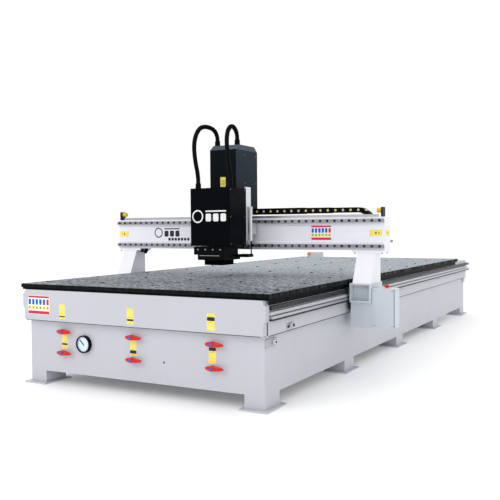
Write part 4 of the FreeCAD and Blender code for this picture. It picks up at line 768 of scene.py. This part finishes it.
def lens_handle(spot, x, z):
    """Moulded lever handle: a lens-shaped grip, longer to the right, on a round hub."""
    rings = 28
    sides = 20
    mesh = bmesh.new()
    loops = []
    for step in range(rings + 1):
        share = -math.cos(math.pi * step / rings)
        across = share * (LONG_ARM if share > 0 else SHORT_ARM)
        swell = math.sqrt(max(1 - abs(share) ** 2.4, 0.0)) * 0.94 + 0.02
        loop = []
        for side in range(sides):
            angle = 2 * math.pi * side / sides
            up = GRIP_HALF_HEIGHT * swell * squared_off(math.sin(angle))
            out = GRIP_HALF_DEPTH * swell * squared_off(math.cos(angle))
            loop.append(mesh.verts.new((x + across, GRIP_MIDDLE_Y - out, z + up)))
        loops.append(loop)
    for low, high in zip(loops, loops[1:]):
        bridge(mesh, low, high)
    mesh.faces.new(loops[0])
    mesh.faces.new(loops[-1])
    base = facing_matrix("front", (x, PANEL_FRONT_Y, z))
    add_turned(mesh, base, HUB_OUTLINE, 28)
    add_turned(mesh, base, BADGE_OUTLINE, 24, 1)
    materials = [FINISHES["red_plastic"], BADGE_BLUE]
    piece = make_piece(f"lens_handle_{spot}", mesh, materials, f"valve_handle_{spot}")
    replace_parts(piece, f"valve_handle_{spot}")


def add_handles():
    """Six handles, at the middle of each CAD hub."""
    for column, x in HANDLE_COLUMNS.items():
        for row, z in HANDLE_ROWS.items():
            lens_handle(f"{column}_{row}", x, z)


def add_dial():
    """Pale gauge dial with an inner rim and a scale of ticks."""
    ticks = 31
    tick_ring = 0.050
    mesh = bmesh.new()
    base = facing_matrix("front", (-0.492, -3.020, 0.342))
    add_turned(mesh, base, [(0.0566, 0.0), (0.0566, 0.0004), (0.002, 0.0005)], 48)
    add_ring(mesh, base, 0.0568, 0.0520, 0.0045, 48, 1)
    for step in range(ticks):
        turn = Matrix.Rotation(math.radians(225 - 9 * step), 4, "Z")
        length = 0.009 if step % 5 == 0 else 0.005
        matrix = base @ turn @ Matrix.Translation((tick_ring - length / 2, 0.0, 0.0004))
        add_plate(mesh, matrix, length, 0.0016, MARK_SHEET, 0.0004, 2)
    make_piece("gauge_dial", mesh, [DIAL_PALE, SCREW_STEEL, LABEL_DARK], "bed")


add_handles()
add_dial()

# -------- racks and pinions


def add_rack(mesh, matrix, length, height, width, pitch, depth):
    """Straight rack: length along local x, teeth towards local y, width along local z."""
    count = int(length / pitch)
    outline = []
    for tooth in range(count):
        start = tooth * pitch
        outline += [
            (start, height - depth),
            (start + 0.28 * pitch, height - depth),
            (start + 0.46 * pitch, height),
            (start + 0.82 * pitch, height),
        ]
    outline.append((count * pitch, height - depth))
    outline.append((length, height - depth))
    rings = []
    for along, up in outline:
        corners = ((0.0, 0.0), (up, 0.0), (up, width), (0.0, width))
        rings.append([mesh.verts.new(matrix @ Vector((along, *corner))) for corner in corners])
    for near, far in zip(rings, rings[1:]):
        bridge(mesh, near, far)
    mesh.faces.new(rings[0])
    mesh.faces.new(rings[-1])


def add_gear(mesh, matrix, tip_radius, depth, teeth, width, bore):
    """Spur pinion about local z with flat tooth tips and a bored middle."""
    root_radius = tip_radius - depth
    profile = ((0.0, root_radius), (0.3, root_radius), (0.48, tip_radius), (0.82, tip_radius))
    rim = []
    for tooth in range(teeth):
        for share, radius in profile:
            angle = 2 * math.pi * (tooth + share) / teeth
            rim.append(Vector((radius * math.cos(angle), radius * math.sin(angle), 0.0)))
    bored = [spot.normalized() * bore for spot in rim]
    rings = []
    for spots, height in ((rim, 0.0), (rim, width), (bored, width), (bored, 0.0)):
        rings.append([mesh.verts.new(matrix @ (spot + Vector((0, 0, height)))) for spot in spots])
    for low, high in zip(rings, rings[1:] + rings[:1]):
        bridge(mesh, low, high)


def add_racks():
    """Toothed racks of the bed, teeth down, and of the beam, teeth back."""
    low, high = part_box("y_racks")
    bar = 0.030
    mesh = bmesh.new()
    for edge in (low[0], high[0] - bar):
        matrix = axes_matrix((edge, low[1], high[2]), (0, 1, 0), (0, 0, -1), (1, 0, 0))
        add_rack(mesh, matrix, high[1] - low[1], bar, bar, pitch=0.00628, depth=0.0045)
    piece = make_piece("y_racks_toothed", mesh, [RACK_STEEL], "bed", smooth=False)
    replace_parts(piece, "y_racks")
    low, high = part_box("x_rack")
    mesh = bmesh.new()
    matrix = axes_matrix(low, (1, 0, 0), (0, 1, 0), (0, 0, 1))
    length, height, width = (high[side] - low[side] for side in range(3))
    add_rack(mesh, matrix, length, height, width, pitch=0.00471, depth=0.0034)
    piece = make_piece("x_rack_toothed", mesh, [SCREW_STEEL], "gantry", smooth=False)
    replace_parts(piece, "x_rack")


def add_pinions():
    """Toothed pinions on their shafts."""
    low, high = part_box("y_pinions")
    inner_face = 1.079
    mesh = bmesh.new()
    middle_y = (low[1] + high[1]) / 2
    middle_z = (low[2] + high[2]) / 2
    for side in (-1, 1):
        place = (side * inner_face, middle_y, middle_z)
        matrix = axes_matrix(place, (0, 1, 0), (0, 0, side), (side, 0, 0))
        add_gear(mesh, matrix, tip_radius=0.036, depth=0.0045, teeth=34, width=0.025, bore=0.012)
        add_turned(mesh, matrix, [(0.002, 0.0), (0.012, 0.0), (0.012, 0.081)], 20)
    piece = make_piece("y_pinions_toothed", mesh, [FINISHES["drive_steel"]], "y_pinions")
    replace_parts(piece, "y_pinions")
    low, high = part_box("x_pinion")
    mesh = bmesh.new()
    centre = ((low[0] + high[0]) / 2, (low[1] + high[1]) / 2, low[2])
    matrix = axes_matrix(centre, (1, 0, 0), (0, 1, 0), (0, 0, 1))
    add_gear(mesh, matrix, tip_radius=0.018, depth=0.0034, teeth=22, width=0.018, bore=0.008)
    add_turned(mesh, matrix, [(0.002, 0.0), (0.008, 0.0), (0.008, high[2] - low[2])], 20)
    piece = make_piece("x_pinion_toothed", mesh, [FINISHES["drive_steel"]], "x_pinion")
    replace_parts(piece, "x_pinion")


add_racks()
add_pinions()

# -------- screws and small fittings

PLUG_PITCH = 0.065
PLUG_OUTLINE = [(0.0120, 0.0), (0.0120, 0.0004), (0.004, 0.0005)]
# Places of a base plate and a painted block, each with width, height, depth and
# corner radius, then of screw heads, each with radius and height.
SIDE_SWITCHES = {
    "corner_bracket": (
        ((BODY_SIDE_X, -2.9165, 0.4515), (0.155, 0.055, 0.010, 0.004)),
        ((BODY_SIDE_X + 0.010, -2.880, 0.4515), (0.040, 0.034, 0.014, 0.006)),
        ((BODY_SIDE_X + 0.024, -2.880, 0.4515), (0.008, 0.004)),
    ),
    "limit_switch": (
        ((FRAME_SIDE_X, -2.664, 0.532), (0.110, 0.048, 0.004, 0.006)),
        ((FRAME_SIDE_X + 0.004, -2.650, 0.538), (0.042, 0.034, 0.016, 0.006)),
        ((FRAME_SIDE_X + 0.020, -2.650, 0.538), (0.012, 0.005)),
        ((FRAME_SIDE_X + 0.004, -2.700, 0.532), (0.009, 0.005)),
    ),
}


def add_rail_plugs():
    """Low black caps over the screws of the four rails, at an even pitch."""
    acrosses = steps_between(-1.34, 1.34, PLUG_PITCH)
    spots = [(x, X_RAIL_FRONT_Y, z) for z in (1.268, 1.056) for x in acrosses]
    heads("x_rail_plugs", spots, "front", PLUG_OUTLINE, "gantry", DARK_SCREW)
    alongs = steps_between(-2.96, 3.02, PLUG_PITCH)
    for facing, side in SIDES:
        spots = [(side * Y_RAIL_SIDE_X, y, 0.689) for y in alongs]
        heads(f"y_rail_plugs_{facing}", spots, facing, PLUG_OUTLINE, "bed", DARK_SCREW)


def add_head_screws():
    """Button screws of the head cover and of its saddle."""
    front = [(x, HEAD_FRONT_Y, z) for x in (-0.205, 0.163) for z in (1.076, 1.310, 1.545)]
    heads("head_cover_screws", front, "front", cap_screw(0.0042, 0.0022), "z_slide", DARK_SCREW)
    side = [(HEAD_RIGHT_X, y, z) for y in (-1.93, -1.69) for z in (1.08, 1.31, 1.54)]
    heads("head_side_screws", side, "right", cap_screw(0.0042, 0.0022), "z_slide")
    top = [(x, -1.75, HEAD_TOP_Z) for x in (-0.19, 0.02, 0.15)] + [(-0.05, -1.93, HEAD_TOP_Z)]
    heads("head_top_screws", top, "top", cap_screw(0.0045, 0.0025), "z_slide")


def add_tall_screws():
    """Button screws of the tall cover's right side and back."""
    heights = (1.37, 1.62, 1.87)
    side = [(TALL_RIGHT_X, y, z) for y in (-1.50, -1.30) for z in heights]
    heads("tall_side_screws", side, "right", cap_screw(0.0045, 0.0022), "x_carriage")
    back = [(x, TALL_BACK_Y, z) for x in (-0.17, 0.05) for z in heights]
    heads("tall_back_screws", back, "back", cap_screw(0.0045, 0.0022), "x_carriage")


def add_drive_cover_screws():
    """Button screws of the two drive covers, on their outer sides and fronts."""
    for facing, side in SIDES:
        spots = [(side * DRIVE_COVER_SIDE_X, y, z) for y in (-1.588, -1.482) for z in (0.42, 0.70)]
        heads(f"motor_cover_screws_{facing}", spots, facing, cap_screw(0.005, 0.0025), "gantry")
    fronts = [
        (side * x, DRIVE_COVER_FRONT_Y, z)
        for side in (-1, 1)
        for x in (1.322, 1.470)
        for z in (0.418, 0.700)
    ]
    heads("motor_cover_front_screws", fronts, "front", cap_screw(0.005, 0.0025), "gantry")


def add_saddle_screws():
    """Column of screws down the saddle beside the head cover."""
    spots = [(0.171, -1.666, z) for z in steps_between(1.10, 1.53, 0.086)]
    heads("saddle_screws", spots, "front", cap_screw(0.004, 0.003), "z_slide", DARK_SCREW)


def add_flange_bolts():
    """Cap screws under the legs' top flanges, heads down."""
    mesh = bmesh.new()
    for side in (-1, 1):
        for x in (1.115, 1.351):
            for y in (-1.49, -1.36):
                matrix = Matrix.Translation((side * x, y, 1.002)) @ HEAD_DOWN
                add_turned(mesh, matrix, cap_screw(0.009, 0.010), 16)
    make_piece("leg_flange_bolts", mesh, [SCREW_STEEL], "gantry")


def tuft_places(width, depth, pitch):
    """Places round the edge of a rectangle, about a pitch apart."""
    spots = []
    for x in steps_between(0.0, width, pitch):
        spots += [(x, 0.0), (x, depth)]
    for y in steps_between(pitch, depth - pitch, pitch):
        spots += [(0.0, y), (width, y)]
    return spots


def add_brush():
    """Brush skirt: two rows of bristle tufts under the hood, uneven in length."""
    low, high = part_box("dust_brush")
    tuft_pitch = 0.0042
    drop = high[2] - low[2]
    mesh = bmesh.new()
    for row, inset in enumerate((0.004, 0.010)):
        width = high[0] - low[0] - 2 * inset
        depth = high[1] - low[1] - 2 * inset
        for index, (x, y) in enumerate(tuft_places(width, depth, tuft_pitch)):
            place = (low[0] + inset + x, low[1] + inset + y, high[2])
            tip_radius = 0.0014 + abs(0.0012 * math.sin(3.7 * index + row))
            reach = drop - 0.002 * (0.5 + 0.5 * math.sin(12.9 * index))
            outline = [(0.0026, 0.0), (0.0021, reach * 0.6), (tip_radius, reach)]
            add_turned(mesh, Matrix.Translation(place) @ HEAD_DOWN, outline, 6)
    piece = make_piece("brush_skirt", mesh, [BRISTLE], "dust_hood")
    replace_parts(piece, "dust_brush")


def add_side_switches():
    """Sensor on a bracket and limit switch on the bed's right side, near the front."""
    for name, (base, block, *heads) in SIDE_SWITCHES.items():
        mesh = bmesh.new()
        for index, (place, size) in enumerate((base, block)):
            add_plate(mesh, facing_matrix("right", place), *size, index)
        for place, size in heads:
            add_turned(mesh, facing_matrix("right", place), cap_screw(*size), 16, 2)
        make_piece(name, mesh, [SCREW_STEEL, FINISHES["drive_paint"], DARK_SCREW], "bed")


def add_back_stub():
    """Small plate low on the body's right side, near the back."""
    mesh = bmesh.new()
    add_plate(mesh, facing_matrix("right", (BODY_SIDE_X, 2.895, 0.465)), 0.110, 0.045, 0.016, 0.006)
    make_piece("back_stub", mesh, [SCREW_STEEL], "bed")


def add_clamp_bolts():
    """Low black bolt heads in the table, unevenly placed, for clamps and stops."""
    mesh = bmesh.new()
    for row, along in enumerate(steps_between(-2.80, 2.10, 0.62)):
        for across in steps_between(-0.98, 0.98, 0.44):
            x = across + 0.07 * math.sin(5.0 * row + across)
            y = along + 0.05 * math.sin(9.0 * across)
            add_turned(mesh, facing_matrix("top", (x, y, BOARD_TOP_Z)), cap_screw(0.011, 0.006), 12)
    make_piece("table_clamp_bolts", mesh, [DARK_SCREW], "bed")


def add_seam_shadow_strips():
    """Painted shadow: thin dark strips along the joint between the upper frame and the lower body,
    where the frame's overhang leaves a shadow line.
    """
    side_length = 5.960
    mesh = bmesh.new()
    front = facing_matrix("front", (0.0, COVER_FRONT_Y - 0.0002, 0.5045))
    add_plate(mesh, front, 2.094, 0.005, LABEL_SHEET, 0.002)
    for facing, side in SIDES:
        matrix = facing_matrix(facing, (side * FRAME_SIDE_X, -0.011, 0.5030))
        add_plate(mesh, matrix, side_length, 0.006, LABEL_SHEET, 0.002)
    make_piece("frame_seam_shadow_strips", mesh, [SEAM_SHADOW_GREY], "bed", smooth=False)


def add_hood_fittings():
    """Clamp screws along the front of the hood, and a thin bright steel strip along its edge as a
    painted highlight.
    """
    spots = [(x, -1.937, 1.030) for x in (-0.15, -0.075, 0.0, 0.075)]
    heads("hood_clamp_screws", spots, "front", cap_screw(0.007, 0.006), "dust_hood")
    mesh = bmesh.new()
    # Painted highlight: a thin steel strip where the hood's edge catches the light.
    add_plate(mesh, facing_matrix("front", (-0.030, -1.945, 0.978)), 0.200, 0.004, 0.0008, 0.001)
    make_piece("hood_edge_highlight_strip", mesh, [SCREW_STEEL], "dust_hood")


def add_home_sensor():
    """Black sensor block with two screws under the beam, beside the left leg."""
    place = Vector((-1.088, -1.470, 1.001))
    below = place + Vector((0.020, 0.0, -0.024))
    mesh = bmesh.new()
    for facing in ("front", "back"):
        add_plate(mesh, facing_matrix(facing, place), 0.070, 0.036, 0.024, 0.005)
        add_plate(mesh, facing_matrix(facing, below), 0.026, 0.018, 0.010, 0.004)
    for across in (-0.022, 0.022):
        spot = place + Vector((across, -0.024, 0.004))
        add_turned(mesh, facing_matrix("front", spot), cap_screw(0.005, 0.004), 14, 1)
    make_piece("home_sensor", mesh, [FINISHES["black_plastic"], SCREW_STEEL], "gantry")


def add_estop_base():
    """Yellow base ring under the emergency stop's head."""
    mesh = bmesh.new()
    add_ring(mesh, Matrix.Translation((1.405, -1.540, 0.718)), 0.026, 0.010, 0.003)
    make_piece("estop_base", mesh, [FINISHES["yellow_plastic"]], "gantry")


add_rail_plugs()
add_head_screws()
add_tall_screws()
add_drive_cover_screws()
add_saddle_screws()
add_flange_bolts()
add_brush()
add_side_switches()
add_back_stub()
add_clamp_bolts()
add_seam_shadow_strips()
add_hood_fittings()
add_home_sensor()
add_estop_base()

# -------- conduits

HOSE_DIAMETER = 0.040
# Control points from the gland on the head to the gland on the tall cover.
HOSES = {
    "hose_left": [
        (-0.166, -1.900, 1.601),
        (-0.166, -1.900, 1.672),
        (-0.192, -1.908, 1.800),
        (-0.212, -1.896, 1.960),
        (-0.216, -1.822, 2.078),
        (-0.205, -1.740, 2.120),
        (-0.178, -1.625, 2.108),
        (-0.164, -1.575, 2.050),
        (-0.164, -1.575, 1.999),
    ],
    "hose_right": [
        (0.122, -1.840, 1.601),
        (0.122, -1.840, 1.668),
        (0.106, -1.842, 1.775),
        (0.088, -1.834, 1.890),
        (0.071, -1.812, 1.988),
        (0.058, -1.765, 2.070),
        (0.050, -1.690, 2.112),
        (0.042, -1.617, 2.098),
        (0.041, -1.575, 2.050),
        (0.041, -1.575, 1.999),
    ],
}


def smooth_line(points):
    """Points read along a NURBS spline that has these control points."""
    data = bpy.data.curves.new("route", "CURVE")
    data.dimensions = "3D"
    data.resolution_u = 40
    spline = data.splines.new("NURBS")
    spline.points.add(len(points) - 1)
    for point, spot in zip(spline.points, points):
        point.co = (*spot, 1.0)
    spline.order_u = 3
    spline.use_endpoint_u = True
    route = bpy.data.objects.new("route", data)
    bpy.context.collection.objects.link(route)
    bpy.context.view_layer.update()
    line = bpy.data.meshes.new_from_object(route)
    spots = [vertex.co.copy() for vertex in line.vertices]
    bpy.data.objects.remove(route)
    bpy.data.curves.remove(data)
    bpy.data.meshes.remove(line)
    return spots


def evenly(spots, spacing):
    """Points along a line at even spacing, and the line's length."""
    lengths = [0.0]
    for here, there in zip(spots, spots[1:]):
        lengths.append(lengths[-1] + (there - here).length)
    count = int(lengths[-1] / spacing)
    result = []
    index = 0
    for step in range(count + 1):
        target = lengths[-1] * step / count
        while index < len(spots) - 2 and lengths[index + 1] < target:
            index += 1
        share = (target - lengths[index]) / max(lengths[index + 1] - lengths[index], 1e-9)
        result.append(spots[index].lerp(spots[index + 1], share))
    return result, lengths[-1]


def corrugated_mesh(line, rings_per_pitch):
    """Tube along a line of points, its radius waving once a pitch."""
    sides = 22
    groove_depth = 0.0028
    mesh = bmesh.new()
    rings = []
    across = Vector((1, 0, 0))
    for step, spot in enumerate(line):
        ahead = (line[min(step + 1, len(line) - 1)] - line[max(step - 1, 0)]).normalized()
        across = (across - ahead * across.dot(ahead)).normalized()
        sideways = ahead.cross(across)
        wave = 0.5 + 0.5 * math.cos(2 * math.pi * step / rings_per_pitch)
        radius = HOSE_DIAMETER / 2 - groove_depth * (1 - wave)
        ring = []
        for side in range(sides):
            angle = 2 * math.pi * side / sides
            outward = math.cos(angle) * across + math.sin(angle) * sideways
            ring.append(mesh.verts.new(spot + radius * outward))
        rings.append(ring)
    for low, high in zip(rings, rings[1:]):
        bridge(mesh, low, high)
    mesh.faces.new(rings[0])
    mesh.faces.new(rings[-1])
    return mesh


def corrugated(name, points):
    """Corrugated conduit along a route, bending between the head and the tall cover."""
    pitch = 0.0085
    rings_per_pitch = 5
    line, length = evenly(smooth_line(points), pitch / rings_per_pitch)
    piece = make_object(name, corrugated_mesh(line, rings_per_pitch), [FINISHES["black_rubber"]])
    piece.data.shade_smooth()
    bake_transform(piece)
    return piece


for hose_name, hose_points in HOSES.items():
    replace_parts(corrugated(hose_name + "_conduit", hose_points), hose_name)

# -------- light and floor

WHITE = (1.0, 1.0, 1.0, 1.0)


def add_area(name, place, target, size, power):
    """Soft square light aimed at a target."""
    data = bpy.data.lights.new(name, "AREA")
    data.size = size
    data.energy = power
    lamp = bpy.data.objects.new(name, data)
    lamp.location = place
    lamp.rotation_euler = (Vector(target) - Vector(place)).to_track_quat("-Z", "Y").to_euler()
    bpy.context.collection.objects.link(lamp)


def add_floor():
    """Plain pale floor with a faint glow, so that it meets the white surroundings."""
    finish = Finish("studio_floor", (0.93, 0.93, 0.94), 0.6)
    finish.paint_over(finish.blend(finish.noise(0.6, 2.0), (0.90, 0.90, 0.91), (0.94, 0.94, 0.945)))
    finish.shader.inputs["Emission Color"].default_value = WHITE
    finish.shader.inputs["Emission Strength"].default_value = 0.14
    mesh = bmesh.new()
    bmesh.ops.create_grid(mesh, x_segments=1, y_segments=1, size=60.0)
    data = bpy.data.meshes.new("floor")
    mesh.to_mesh(data)
    mesh.free()
    data.materials.append(finish.material)
    floor = bpy.data.objects.new("floor", data)
    bpy.context.collection.objects.link(floor)


def add_surroundings():
    """Even white light from all around."""
    world = bpy.data.worlds.new("studio")
    world.use_nodes = True
    backdrop = world.node_tree.nodes["Background"]
    backdrop.inputs["Color"].default_value = WHITE
    backdrop.inputs["Strength"].default_value = 1.02
    bpy.context.scene.world = world


def add_studio():
    """White floor, white surroundings and two soft lights."""
    bpy.context.scene.view_settings.view_transform = "Standard"
    add_floor()
    add_surroundings()
    add_area("key", (-2.5, -9.0, 5.5), (0.0, -1.5, 0.8), 4.0, 150.0)
    add_area("top", (0.0, 1.0, 7.5), (0.0, 1.0, 0.0), 6.0, 60.0)


add_studio()
